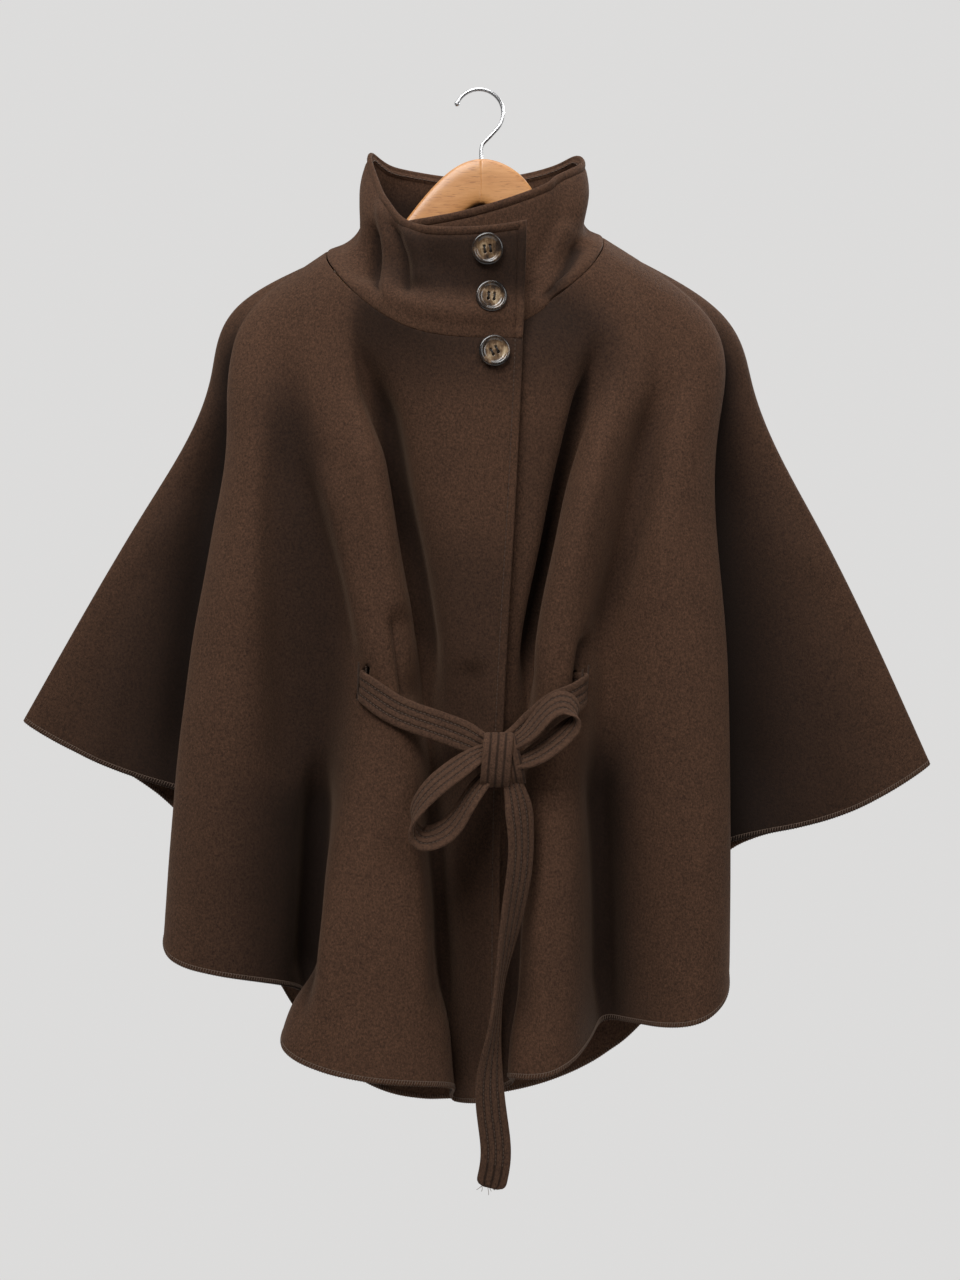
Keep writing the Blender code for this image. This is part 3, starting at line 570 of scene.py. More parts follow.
# one body panel: form + creases + drift, then the stitched groove, hem waver and rounded edges
def bodyPanel(name, node, cut, span, edges):
    b = bodyCloth
    grid = evenGrid(bodySurface, span, cut["columns"], cut["rows"], edges)
    form = bodySurface(grid["along"], grid["down"])
    fromSide, fromTop, level = np.minimum(grid["fromStart"], grid["toEnd"]), grid["fromTop"], form[..., 2]
    sideFade, neckFade = softStep(fromSide / b["sideFade"]), softStep(fromTop / b["neckFade"])
    foldFade = neckFade * softStep(fromSide / b["foldFade"])
    onWing = softStep((grid["along"] - placeOf(cut["turn"])) / cut["turnReach"]) if "turn" in cut else 0
    push = creaseDepth(form, cut["front"]) * foldFade * (1 - onWing)
    push += creaseDepth(form, cut["wing"]) * foldFade * onWing
    # painted shade: darker where the creases go deep, scaled by the cut's tone
    shade = cut["tone"] * softStep(-push / b["fullShadeDepth"])
    # painted shade in the deep turns, recesses and under the collar, one row each
    for deep, line, before, after, high, low in cut["recess"]:  # tone of the deep turns
        aside = grid["along"] - placeOf(line)
        ends = softStep((high - level) / b["shadeFadeAbove"]) * softStep((level - low) / b["shadeFadeBelow"])
        shade = np.maximum(shade, deep * bell(aside, np.where(aside < 0, before, after), 3) * ends)
    push += drift(form, cut["seed"], *b["drift"]) * sideFade * neckFade
    push += drift(form, cut["seed"] + 1, *b["hemDrift"]) * bell(grid["toHem"], b["hemReach"]) * sideFade
    if edges["start"] == stitchEdge:
        push -= b["grooveDeep"] * bell(grid["fromStart"] - b["grooveAt"], b["grooveWide"])
        push += b["edgeHigh"] * bell(grid["fromStart"], b["edgeWide"], 4) * neckFade
    push -= b["seamDeep"] * bell(fromTop, b["seamWide"])  # rolls in to the neck seam
    half = b["wall"] / 2
    middle = form + gridNormals(form) * (push + half)[..., None]
    thick = edgeHalf(np.minimum.reduce([fromSide, fromTop * 2, grid["toHem"]]), half, b["roundReach"])
    hole = None
    if "slit" in cut:
        centre, ringPull, fallPull, _ = bodyFrame(placeOf(cut["slit"]), waist)
        cell = (form[:-1, :-1] + form[1:, :-1] + form[1:, 1:] + form[:-1, 1:]) / 4 - centre
        aside, above = cell @ unitRows(ringPull), cell @ unitRows(fallPull)
        hole = (np.abs(aside) < slit["width"] / 2) & (np.abs(above) < slit["height"] / 2)
        hole &= np.linalg.norm(cell, axis=-1) < slit["height"]
    uv = np.stack([grid["fromStart"], grid["toHem"]], -1) * mm
    panel = clothPiece(name, node, middle, thick, uv, shade, hole=hole)
    panel["flat"], panel["area"] = flatSize(grid), round(gridArea(middle), 4)
    print(name, "flat", panel["flat"], "area", panel["area"])
    return panel


# creases: depth | width to the left, to the right | x z down the line, as seen from the front
frontRight = {
    # tone: strength of the painted shade in the deep creases
    "columns": 290, "rows": 132, "seed": 11, "tone": 0.72,
    "turn": "sideTurn", "turnReach": 26.0, "slit": "coneOuter",
    # rows of painted shade in recesses, deep turns and under the collar: strength | fold line | reach before
    # it, after it | highest and lowest z
    "recess": [(1.0, "sideTurn", 8, 122, -180, -1040), (0.9, "recess", 22, 96, -585, -1010),
               (0.6, "innerValley", 18, 26, -600, -1000), (0.42, "centreFlat", 50, 50, -380, -1000),
               (0.66, "recess", 58, 76, -240, -840), (0.78, "centreFlat", 110, 84, -50, -330)],
    "front": [
        (-19.0, 7.5, 15.0, (-113, -236), (-90, -314), (-79, -375), (-66, -446), (-54, -520), (-48, -590)),
        (9.5, 19.0, 6.0, (-108, -286), (-88, -377), (-74, -426), (-63, -469), (-55, -520), (-50, -590)),
        (5.5, 8.0, 15.0, (-146, -345), (-132, -383), (-121, -426), (-108, -480), (-99, -520), (-86, -560)),
        (-5.5, 13.0, 8.0, (-164, -340), (-148, -400), (-137, -440), (-124, -490), (-116, -550)),
        (-10.0, 5.0, 6.5, (-79, -482), (-73, -528), (-63, -584)),
        (-8.0, 17.0, 15.0, (-190, -290), (-184, -420), (-178, -560), (-176, -680)),
        (-7.0, 12.0, 14.0, (-6, -530), (-9, -568), (-16, -612)),
        (-15.0, 11.0, 14.0, (-146, -610), (-152, -680), (-156, -760), (-160, -872)),
        (3.0, 15.0, 11.0, (-112, -640), (-124, -720), (-139, -830), (-144, -900)),
        (-7.0, 9.0, 13.0, (-52, -640), (-44, -700), (-38, -790), (-36, -880)),
        (2.0, 17.0, 22.0, (-212, -420), (-226, -560), (-240, -700), (-246, -790)),
    ],
    "wing": [
        (-16.0, 26.0, 24.0, (-240, -290), (-250, -345), (-260, -441), (-270, -563), (-280, -690)),
        (3.5, 20.0, 16.0, (-282, -360), (-318, -480), (-346, -590), (-356, -650)),
        (-3.0, 15.0, 18.0, (-300, -410), (-352, -540), (-384, -640)),
    ],
}
frontLeft = {
    # tone and recess rows: painted shade, as on the right front
    "columns": 290, "rows": 132, "seed": 23, "tone": 0.8,
    "turn": "sideTurnLeft", "turnReach": -26.0, "slit": "coneOuterLeft",
    "recess": [(1.0, "sideTurnLeft", 132, 8, -180, -1040), (0.8, "recessLeft", 42, 60, -560, -990),
               (0.7, "innerValleyLeft", 22, 20, -600, -1000), (0.16, "underFlat", 16, 200, -270, -1000),
               (0.72, "underFlat", 70, 200, -50, -330)],
    "front": [
        (-22.0, 9.5, 6.5, (110, -230), (93, -315), (77, -383), (69, -424), (52, -507), (44, -590)),
        (10.0, 6.0, 19.0, (112, -266), (98, -329), (85, -378), (74, -421), (63, -469), (54, -512), (46, -590)),
        (-8.0, 15.0, 15.0, (186, -262), (157, -322), (149, -382), (124, -465), (110, -507), (98, -560)),
        (-9.0, 6.0, 7.0, (99, -505), (93, -530), (88, -572)),
        (2.6, 16.0, 16.0, (166, -340), (160, -450), (148, -540), (146, -650)),
        (-12.0, 13.0, 12.0, (106, -600), (112, -680), (116, -760), (118, -890)),
        (-7.0, 10.0, 12.0, (40, -640), (38, -720), (36, -800), (38, -890)),
        (2.6, 11.0, 14.0, (84, -640), (82, -720), (80, -820), (80, -895)),
        (-2.4, 20.0, 18.0, (190, -560), (186, -660), (182, -760), (186, -850)),
    ],
    "wing": [
        (-16.0, 24.0, 26.0, (232, -290), (235, -330), (239, -394), (247, -478), (254, -560), (264, -720)),
        (3.5, 16.0, 20.0, (282, -380), (318, -500), (338, -620), (344, -690)),
        (-3.0, 18.0, 15.0, (304, -430), (352, -560), (378, -670)),
    ],
}
backPanel = {
    # tone: painted shade in the deep creases, kept weak on the back
    "columns": 200, "rows": 112, "seed": 37, "tone": 0.25, "wing": [], "recess": [],
    "front": [
        (9.0, 20.0, 26.0, (-54, -260), (-62, -480), (-70, -660), (-78, -880)),
        (-11.0, 16.0, 22.0, (40, -240), (48, -430), (52, -620), (50, -840)),
        (-13.0, 24.0, 18.0, (-128, -300), (-150, -520), (-166, -680), (-176, -830)),
        (8.5, 24.0, 28.0, (112, -300), (128, -520), (140, -700), (148, -850)),
        (-9.0, 16.0, 20.0, (-4, -480), (2, -660), (8, -800), (6, -930)),
        (-8.0, 24.0, 20.0, (-224, -330), (-262, -450), (-300, -560), (-330, -640)),
        (7.0, 22.0, 26.0, (214, -330), (252, -460), (292, -580), (318, -670)),
        (6.5, 14.0, 18.0, (78, -520), (84, -660), (90, -780), (86, -900)),
    ],
}
seamEdge = {"start": plainEdge, "end": plainEdge, "top": plainEdge, "hem": hemEdge}
gap, rightSeam, leftSeam = bodyCloth["seamGap"], placeOf("rightRidge"), placeOf("leftRidge")
rightEdges = {**seamEdge, "start": stitchEdge}
rightPanel = bodyPanel("frontRightCloth", "front_right", frontRight, (0.0, rightSeam - gap), rightEdges)
leftPanel = bodyPanel("frontLeftCloth", "front_left", frontLeft, (leftSeam + gap, foldPlace[-1]), seamEdge)
backSheet = bodyPanel("backCloth", "back_panel", backPanel, (rightSeam + gap, leftSeam - gap), seamEdge)
print("body panels made")

# collar
collarCloth = {
    "wall": 4.5, "inset": 1.0, "rise": 0.3, "columns": 250, "rows": 56, "seed": 51,
    "roundReach": 2.6, "outTurn": 2.2, "drift": (0.8, 45, 120),
    # stitched groove, rolled edge outside it, and the roll at the neck seam: high or deep, at, wide
    "groove": (1.7, 7.0, 1.25), "roll": (1.1, 2.6, 3.0), "seamOut": (3.0, 0.0, 9.0), "seamIn": (0.4, 0.0, 1.4),
    "frontY": -28, "frontSoft": 18, "lapFade": (45, 70), "topFade": 16,  # where the creases lie
    "hollow": 5.0, "hollowAt": 0.6, "hollowTall": 0.24,  # of the over layer, below its top edge
    # painted shade: in the deep creases, on the front of the over layer and on the inside face
    "creaseShade": 0.75, "fullShadeDepth": 6, "frontTone": 0.72, "insideShadeLevel": 0.8,
    "creases": [  # same columns as the body's
        (4.6, 5.0, 5.5, (-90, -100), (-89, -140), (-86, -185), (-80, -222)),
        (-6.0, 6.0, 5.5, (-99, -128), (-96, -168), (-88, -214)),
        (-8.0, 5.5, 7.0, (-80, -132), (-73, -168), (-62, -214)),
        (4.6, 6.0, 9.0, (-70, -130), (-61, -162), (-49, -206)),
        (-6.5, 7.0, 8.5, (97, -142), (80, -174), (58, -216)),
        (3.6, 8.0, 7.5, (84, -128), (68, -162), (48, -204)),
    ],
    "bulge": {"high": 3.4, "at": 0.17, "tall": 0.1, "fromX": -88, "toX": 44, "soft": 34},
}
collarPlace = (0.0, 0.14, 0.34, 0.68, 1.0)  # seam, roll, tuck, middle, top edge
# neck angle | roll out, up | tuck out, up | middle out | top edge x y z
collarTable = {
    "overEnd": (24, 4, 18, 5, 40, 1, 42, -95, -144),
    "front": (4, 5, 18, 4, 40, 1, 10, -96, -149),
    "frontRight": (-18, 5, 18, 2, 38, 1, -35, -92, -149),
    "foldRight": (-34, 3, 16, -5, 32, 1, -61, -81, -142),
    "creaseRight": (-46, 0, 12, -15, 22, 2, -77, -65, -126),
    "bulgeRight": (-64, -6, 8, -21, 18, 5, -89, -43, -103),
    "sideRight": (-90, -10, 6, -27, 16, 5, -101, -15, -67),
    "backTurnRight": (-120, -6, 10, -14, 24, 5, -88, 6, -66),
    "backRight": (-142, 0, 14, 0, 34, 2, -64, 19, -70),
    "back": (-180, 2, 16, 0, 38, 3, 1, 27, -75),
    "backLeft": (-222, 1, 14, 2, 32, 2, 66, 19, -67),
    "backTurnLeft": (-240, -3, 10, -6, 24, 4, 82, 7, -63),
    "sideLeft": (-270, -8, 6, -16, 15, 4, 96, -12, -66),
    "bulgeLeft": (-292, -4, 9, -14, 18, 5, 88, -32, -80),
    "creaseLeft": (-310, 2, 12, -10, 24, 0, 68, -51, -95),
    "frontLeft": (-330, 4, 14, -4, 30, 0, 36, -71, -115),
    "underFront": (-354, 4, 14, 0, 34, 0, -8, -82, -131),
    "underEnd": (-381, 2, 14, -3, 34, 0, -66, -66, -138),
}
collarRows = np.array(list(collarTable.values()), float)
collarKnots = np.interp(-collarRows[:, 0], -neck, foldPlace)


# outer face of the collar: up from just inside the neck seam, out and in by the table's steps
def collarSurface(along, up):
    shape = np.shape(along)
    along, up = np.ravel(along), np.ravel(up)
    zero = np.zeros_like(along)
    seam = bodySurface(along, zero)
    ahead = (seam[:, 1] - neckSizes["middleY"]) * collarCloth["outTurn"]
    out = unitRows(np.stack([seam[:, 0] - neckSizes["centreX"], ahead, zero], -1))
    rise = np.array([0.0, 0.0, 1.0])
    base = seam - out * collarCloth["inset"] + rise * collarCloth["rise"]
    value = smoothWeights(collarKnots, along) @ collarRows[:, 1:]
    roll = base + out * value[:, 0:1] + rise * value[:, 1:2]
    tuck = base + out * value[:, 2:3] + rise * value[:, 3:4]
    top = value[:, 5:8]
    lines = np.stack([base, roll, tuck, (tuck + top) / 2 + out * value[:, 4:5], top], 1)
    return np.einsum("nsk,ns->nk", lines, smoothWeights(collarPlace, up)).reshape(*shape, 3)


collarHem = (0, 0.4, 1.0, 1.8, 2.8, 4.2, 5.4, 6.2, 7.0, 7.8, 8.8, 10.4, 12.4)
collarEdges = {"start": collarHem, "end": plainEdge, "top": plainEdge, "hem": collarHem}


# collar: form + creases + drift + rolled band - groove + rolled edge - hollow, then the neck roll
def collarPanel(edges):
    c = collarCloth
    grid = evenGrid(collarSurface, collarKnots[[0, -1]], c["columns"], c["rows"], edges)
    form = collarSurface(grid["along"], grid["down"])
    x, y, up, start, top = form[..., 0], form[..., 1], grid["down"], grid["fromStart"], grid["toHem"]
    front = softStep((c["frontY"] - y) / c["frontSoft"])
    lap = softStep(start / c["lapFade"][0]) * softStep(grid["toEnd"] / c["lapFade"][1])
    push = creaseDepth(form, c["creases"]) * front * lap * softStep(top / c["topFade"])
    # painted shade in the deep creases
    shade = c["creaseShade"] * softStep(-push / c["fullShadeDepth"])
    push += drift(form, c["seed"], *c["drift"]) * lap
    bulge = c["bulge"]  # rolled band just above the neck seam, at the front
    across = softStep((x - bulge["fromX"]) / bulge["soft"]) * softStep((bulge["toX"] - x) / bulge["soft"])
    push += bulge["high"] * across * bell(up - bulge["at"], bulge["tall"]) * front
    overLayer = softStep((start - 40) / 40) * softStep((210 - start) / 70)
    push -= c["hollow"] * overLayer * bell(up - c["hollowAt"], c["hollowTall"])
    edge, seam = np.minimum(top, start), grid["fromTop"]
    rolls = {"groove": (-1, edge), "roll": (1, edge), "seamOut": (1, seam), "seamIn": (-1, seam)}
    for key, (sign, aside) in rolls.items():
        high, at, wide = c[key]
        push += sign * high * bell(aside - at, wide)
    # painted shade over the front of the over layer, above the seam roll and below the top edge
    frontTone = softStep((170 - start) / 70) * softStep((up - 0.16) / 0.3) * softStep(top / 14)
    shade = np.maximum(shade, c["frontTone"] * frontTone)
    half = c["wall"] / 2
    middle = form - gridNormals(form[:, ::-1])[:, ::-1] * (half - push)[..., None]
    nearest = np.minimum.reduce([start, grid["toEnd"], top, seam * 2.4])
    thick = edgeHalf(nearest, half, c["roundReach"])
    # painted shade on the inside face, darker further from the top edge
    inside = c["insideShadeLevel"] * softStep((top - 6) / 34)
    sheet = (middle, thick, np.stack([start, top], -1) * mm, shade, inside)
    panel = clothPiece("collarCloth", "collar", *(values[:, ::-1] for values in sheet))  # top edge first
    panel["flat"], panel["area"] = flatSize(grid), round(gridArea(middle), 4)
    return panel


collar = collarPanel(collarEdges)
print("collar made, flat", collar["flat"], "area", collar["area"])

# belt
beltSizes = {
    "width": 27.0, "thick": 4.0, "across": 45, "lift": 4.2,
    "grooves": (-6.6, 0.0, 6.6), "grooveDeep": 0.8, "grooveWide": 0.8,
    # through the slit: steps out of the cloth and towards the knot; then the drop to the crest
    "through": ((-14.0, 1.2), (-6.0, 1.2), (2.6, 1.6)), "drop": 0.008,
}
knot = {"centre": np.array([18.0, -98.0, -621.5]), "core": (17.5, 12.6, 18.6), "rings": 34, "around": 48}
loopLean = {"turn": 90, "rise": 48}  # degrees of the width direction of both loops
# x y z of the middle line; both ends run into the knot
loopUpper = [
    (27, -101, -609), (37.7, -106, -602), (49, -108, -590), (62, -109, -576), (76, -110, -571),
    (85, -110, -581), (77, -110, -596), (58, -109, -611), (37.7, -106, -621), (27, -101, -622),
]
loopLower = [
    (9, -101, -613), (-1.7, -106, -617), (-17, -109, -627), (-37, -111, -642), (-51, -112, -657),
    (-57, -112, -673), (-52, -112, -688), (-35, -111, -686), (-15, -109, -667), (-1.7, -106, -646),
    (9, -101, -634),
]
# x y z | turn of the width direction in degrees
tailTable = [
    (27, -100, -634, 6), (31, -103, -646.4, 10), (37, -104, -682, 30), (35, -103, -727, 35),
    (27, -101, -771, 50), (19, -100, -816, 72), (12, -99, -869, 60), (10, -97, -922, 15),
    (15, -95, -968, 2), (10, -93, -1001, -3),
]
strandEnd = {"right": ((-0.5, -91, -607), (9, -95, -612)), "left": ((36.5, -91, -600), (27, -95, -606))}
beltBackMiddle = [(-88, -24, -582), (-80, 2, -592), (-44, 18, -602), (0, 21, -605)]


# cut end of the belt: half thickness drops to nothing at both sides and dips at each stitched groove
def beltOutline(width, thick):
    b = beltSizes
    turn = np.linspace(-np.pi / 2, np.pi / 2, b["across"])
    aside = np.sin(turn)
    half = thick / 2 * np.sqrt(1 - np.abs(aside) ** 9)
    for groove in b["grooves"]:
        half = half - b["grooveDeep"] * bell(aside * b["width"] / 2 - groove, b["grooveWide"])
    half[[0, -1]] = 0
    top = np.stack([aside * width / 2, half], -1)
    return np.concatenate([top, (top * (1, -1))[-2:0:-1]])


beltPieces = {}


# belt along a path: outline carried along it, widths and thicknesses scaled on the way
def beltPiece(name, node, path, wide, widthScale=1.0, thickScale=1.0, closed=False, width=beltSizes["width"]):
    count = len(path)
    step = (np.roll(path, -1, 0) - np.roll(path, 1, 0)) if closed else np.gradient(path, axis=0)
    ahead = unitRows(step)
    wide = unitRows(wide - ahead * np.sum(wide * ahead, axis=1, keepdims=True))
    out = np.cross(ahead, wide) * np.broadcast_to(thickScale, count)[:, None]
    wide = wide * np.broadcast_to(widthScale, count)[:, None]
    outline = beltOutline(width, beltSizes["thick"])
    points = path[:, None] + wide[:, None] * outline[:, :1] + out[:, None] * outline[:, 1:]
    sides = len(outline)
    faceSets = tubeFaces(count, sides)
    if closed:
        last, first = np.arange(sides) + (count - 1) * sides, np.arange(sides)
        faceSets[1:] = [np.stack([last, first, np.roll(first, -1), np.roll(last, -1)], 1)]
    run = runLength(path, 0)
    uv = np.stack(np.broadcast_arrays(outline[None, :, 0], run[:, None]), -1) * mm
    piece = putPiece(name, points, faceSets, beltWool, uv, node=node)
    flat = (round(width * mm, 3), round(float(run[-1]) * mm, 3))
    beltPieces[name] = {"piece": piece, "path": path, "wide": wide, "out": out, "flat": flat}


# share of the width along a path: least at both ends, full from reach on
def endGather(path, least, reach):
    run = runLength(path, 0)
    return least + (1 - least) * softStep(np.minimum(run, run[-1] - run) / reach)


# uneven belt: the path wanders a little off its line
def wander(path, seed, size):
    shift = np.stack([drift(path, seed + k, size, 40, 130) for k in range(3)], -1)
    run = runLength(path, 0)
    return path + shift * softStep(np.minimum(run, run[-1] - run) / 30)[:, None]


slitFolds = {"right": ("coneOuter", "coneCrest"), "left": ("coneOuterLeft", "coneCrestLeft")}
insideEnd = {}
for side, folds in slitFolds.items():
    slitAt, crestAt = (placeOf(name) for name in folds)
    high = bodyCloth["wall"] + beltSizes["lift"]
    slitPoint, _, fallPull, outward = bodyFrame(slitAt, waist)
    centre = slitPoint + outward * bodyCloth["wall"] / 2
    crest, _, _, crestOut = bodyFrame(crestAt, waist + beltSizes["drop"])
    inward, upright = unitRows(crest - slitPoint), -unitRows(fallPull)
    nearKnot, inKnot = (np.array(point, float) for point in strandEnd[side])
    overCrest = crest + crestOut * high
    lean = unitRows(np.cross(nearKnot - overCrest, np.array([0.0, -1.0, 0.0])))
    lean = lean if lean[2] > 0 else -lean
    rows = [(*(centre + outward * out + inward * ahead), *upright) for out, ahead in beltSizes["through"]]
    for share in (0.3, 0.65):
        here, level = slitAt + share * (crestAt - slitAt), waist + beltSizes["drop"] * share
        point, _, _, pointOut = bodyFrame(here, level)
        rows.append((*(point + pointOut * high), *upright))
    rows += [(*overCrest, *unitRows(upright + lean)), (*((overCrest + nearKnot) / 2), *lean)]
    rows += [(*nearKnot, *lean), (*inKnot, *lean)]
    samples = smoothPath(rows, 110)
    run = runLength(samples[:, :3], 0)
    narrow = 0.74 + 0.26 * softStep((run[-1] - run) / 30)
    beltPiece("beltStrand" + side.capitalize(), "belt_strand_" + side, samples[:, :3], samples[:, 3:], narrow)
    out, ahead = beltSizes["through"][0]
    insideEnd[side] = (centre + outward * (out - 0.8) + inward * ahead, outward, upright)

rightEnd, rightOut, rightUp = insideEnd["right"]
leftEnd, leftOut, leftUp = insideEnd["left"]
backRows = [(*rightEnd, *rightUp), (*(rightEnd - rightOut * 10), *rightUp)]
backRows += [(x, y, z, 0, 0, 1) for x, y, z in beltBackMiddle]
backRows += [(-x, y, z, 0, 0, 1) for x, y, z in beltBackMiddle[-2::-1]]
backRows += [(*(leftEnd - leftOut * 10), *leftUp), (*leftEnd, *leftUp)]
samples = smoothPath(backRows, 130)
beltPiece("beltBack", "belt_back", samples[:, :3], samples[:, 3:])

turn, rise = math.radians(loopLean["turn"]), math.radians(loopLean["rise"])
loopWide = np.array([math.cos(rise) * math.cos(turn), math.cos(rise) * math.sin(turn), math.sin(rise)])
for label, node, table, seed in (("beltLoopUpper", "belt_loop_upper", loopUpper, 61),
                                 ("beltLoopLower", "belt_loop_lower", loopLower, 67)):
    path = wander(smoothPath(table, 130), seed, 0.9)
    wide = np.broadcast_to(loopWide, path.shape)
    beltPiece(label, node, path, wide, endGather(path, 0.6, 34))

samples = smoothPath(tailTable, 190)
tailTurn = np.radians(samples[:, 3])
tailWide = np.stack([np.cos(tailTurn), np.sin(tailTurn), 0 * tailTurn], -1)
tailPath = wander(samples[:, :3], 71, 0.9)
run = runLength(tailPath, 0)
toEnd = run[-1] - run
endShare = np.clip(toEnd / 9.0, 0, 1)
tailWidth = np.maximum((1 - (1 - endShare) ** 3.2) ** (1 / 3.2), 0.5)
tailThick = np.maximum(np.sqrt(1 - (1 - np.clip(toEnd / 2.4, 0, 1)) ** 2), 0.3)
tailWidth = tailWidth * (0.6 + 0.4 * softStep(run / 40))
beltPiece("beltTail", "belt_tail", tailPath, tailWide, tailWidth, tailThick)


# knot wrap: a band carried round a squared oval in the plane across the knot
def knotBand(name, node, shift, reach, tilt, width):
    angle = np.linspace(0, 2 * np.pi, 241)
    ahead, up = squaredOval(angle, 0.82)
    oval = np.stack([0 * angle, -reach[0] * ahead, -reach[1] * up], -1)
    run = runLength(oval, 0)
    path = pointsAt(oval, run, np.linspace(0, run[-1], 120, endpoint=False)) + knot["centre"] + np.array(shift)
    path[:, 0] += (path[:, 2] - knot["centre"][2]) * math.tan(math.radians(tilt))
    wide = np.broadcast_to(np.array([1.0, 0.0, 0.0]), path.shape)
    beltPiece(name, node, path, wide, closed=True, width=width)


knotBand("beltKnotWrap", "belt_knot", (-2.5, 0, 0), (16.0, 22.4), 5, 26)
knotBand("beltKnotTurn", None, (11.5, 1.5, 0.5), (13.0, 20.0), -12, 16)

# folded belt inside the knot: an oval closed at both ends, half width x (1 - s^2)^0.4
along = np.sin(np.linspace(-np.pi / 2 + 0.02, np.pi / 2 - 0.02, knot["rings"]))[:, None]
around = np.linspace(0, 2 * np.pi, knot["around"], endpoint=False)
swell = (1 - along ** 2) ** 0.4 * (1 + 0.05 * np.cos(6 * around))
core = np.stack(np.broadcast_arrays(along, swell * np.cos(around), swell * np.sin(around)), -1) * knot["core"]
putPiece("beltKnotCore", core + knot["centre"], tubeFaces(*swell.shape), beltWool)
print("belt made")


# sewing
def stitchRow(line, normal, pitch, length, radius, lift, sides=5):
    # each stitch is a short rod along the line, sunk at its ends: lift x sin(pi x share)
    run = runLength(line, 0)
    starts = np.arange(pitch / 2, run[-1] - length, pitch)
    share = np.linspace(0, 1, 5)
    at = starts[:, None] + share * length
    place, up = pointsAt(line, run, at), unitRows(pointsAt(normal, run, at))
    path = place + up * (lift * (1.6 * np.sin(np.pi * share) - 0.6))[:, None]
    return rodMesh(path, radius, sides, up)


# sewing in one piece: each part's faces counted on from the points before it
def sewnPiece(name, parts, finish):
    points, faceSets, first = [], [], 0
    for partPoints, partFaces in parts:
        points.append(partPoints)
        faceSets += [faces + first for faces in partFaces]
        first += len(partPoints)
    return putPiece(name, np.concatenate(points), faceSets, finish)


topStitch = {"pitch": 4.0, "length": 3.1, "radius": 0.42, "lift": 0.34}
grooveColumn, collarRow = stitchEdge.index(7.0), collarHem.index(7.0)
placketRow = stitchRow(rightPanel["outer"][grooveColumn], rightPanel["normal"][grooveColumn], **topStitch)
placketStitch = sewnPiece("placketTopstitch", [placketRow], woolThread)
alongTop, alongEnd = np.s_[collarRow:, collarRow], np.s_[collarRow, collarRow:]
collarStitch = sewnPiece("collarTopstitch", [
    stitchRow(collar["outer"][alongTop], collar["normal"][alongTop], **topStitch),
    stitchRow(collar["outer"][alongEnd], collar["normal"][alongEnd], **topStitch),
    stitchRow(collar["inner"][alongTop], -collar["normal"][alongTop], **topStitch),
], thread)

beltStitch = {"pitch": 3.6, "length": 2.7, "radius": 0.34, "lift": 0.3, "sides": 4}
beltRows = []
for label in ("beltTail", "beltLoopUpper", "beltLoopLower", "beltStrandRight", "beltStrandLeft"):
    belt = beltPieces[label]
    depth = beltSizes["thick"] / 2 - beltSizes["grooveDeep"]
    for groove in beltSizes["grooves"]:
        for face in (1, -1):
            line = belt["path"] + belt["wide"] * groove + belt["out"] * (depth * face)
            beltRows.append(stitchRow(line[4:-10], belt["out"][4:-10] * face, **beltStitch))
sewnPiece("beltStitching", beltRows, thread)

overlock = {"pitch": 2.5, "slant": 1.1, "radius": 0.3, "lift": 0.22, "under": 0.4}


# hem overlock: slanted legs over the edge, with a chain along their upper ends
def hemOverlock(panel):
    outer, inner, normal, o = panel["outer"], panel["inner"], panel["normal"], overlock
    run = runLength(outer[:, -1], 0)
    starts = np.arange(2.0, run[-1] - 4.0, o["pitch"])
    down = unitRows(outer[:, -1] - outer[:, -5])
    lines = [outer[:, -6] + normal[:, -6] * o["lift"], outer[:, -4] + normal[:, -4] * o["lift"],
             (outer[:, -1] + inner[:, -1]) / 2 + down * o["under"],
             inner[:, -4] - normal[:, -4] * o["lift"], inner[:, -6] - normal[:, -6] * o["lift"]]
    slants = np.array([0, 0.7, 1.0, 0.7, 0]) * o["slant"]
    path = np.stack([pointsAt(line, run, starts + slant) for line, slant in zip(lines, slants)], 1)
    upright = pointsAt(unitRows(np.gradient(outer[:, -1], axis=0)), run, starts)[:, None]
    legs = rodMesh(path, o["radius"], 4, upright)
    chain = stitchRow(outer[:, -6], normal[:, -6], o["pitch"], o["pitch"] * 0.92, o["radius"], o["lift"], 4)
    return [legs, chain]


hemRight = sewnPiece("hemOverlockRight", hemOverlock(rightPanel), paleThread)
hemLeft = sewnPiece("hemOverlockLeft", hemOverlock(leftPanel), paleThread)
hemBack = sewnPiece("hemOverlockBack", hemOverlock(backSheet), paleThread)

# slit edges: a close row of stitches over each long side
slitStitch = {"pitch": 1.35, "reach": 2.8, "radius": 0.42, "lift": 0.35, "extra": 2.0}
slitRows = []
for name, _ in slitFolds.values():
    point, ringPull, fallPull, outward = bodyFrame(placeOf(name), waist)
    aside, below = unitRows(ringPull), unitRows(fallPull)
    reachDown = slit["height"] / 2 + slitStitch["extra"]
    stations = np.arange(-reachDown, reachDown, slitStitch["pitch"])
    for sign in (1, -1):
        start = slit["width"] / 2 * sign - 0.6 * sign
        bow = np.linspace(0, 1, 5)
        shift = start + sign * slitStitch["reach"] * bow
        path = point + below * stations[:, None, None] + aside * shift[:, None]
        rise = bodyCloth["wall"] + slitStitch["lift"] * (1.6 * np.sin(np.pi * bow) - 0.6)
        slitRows.append(rodMesh(path + outward * rise[:, None], slitStitch["radius"], 4, outward))
sewnPiece("slitStitching", slitRows, woolThread)

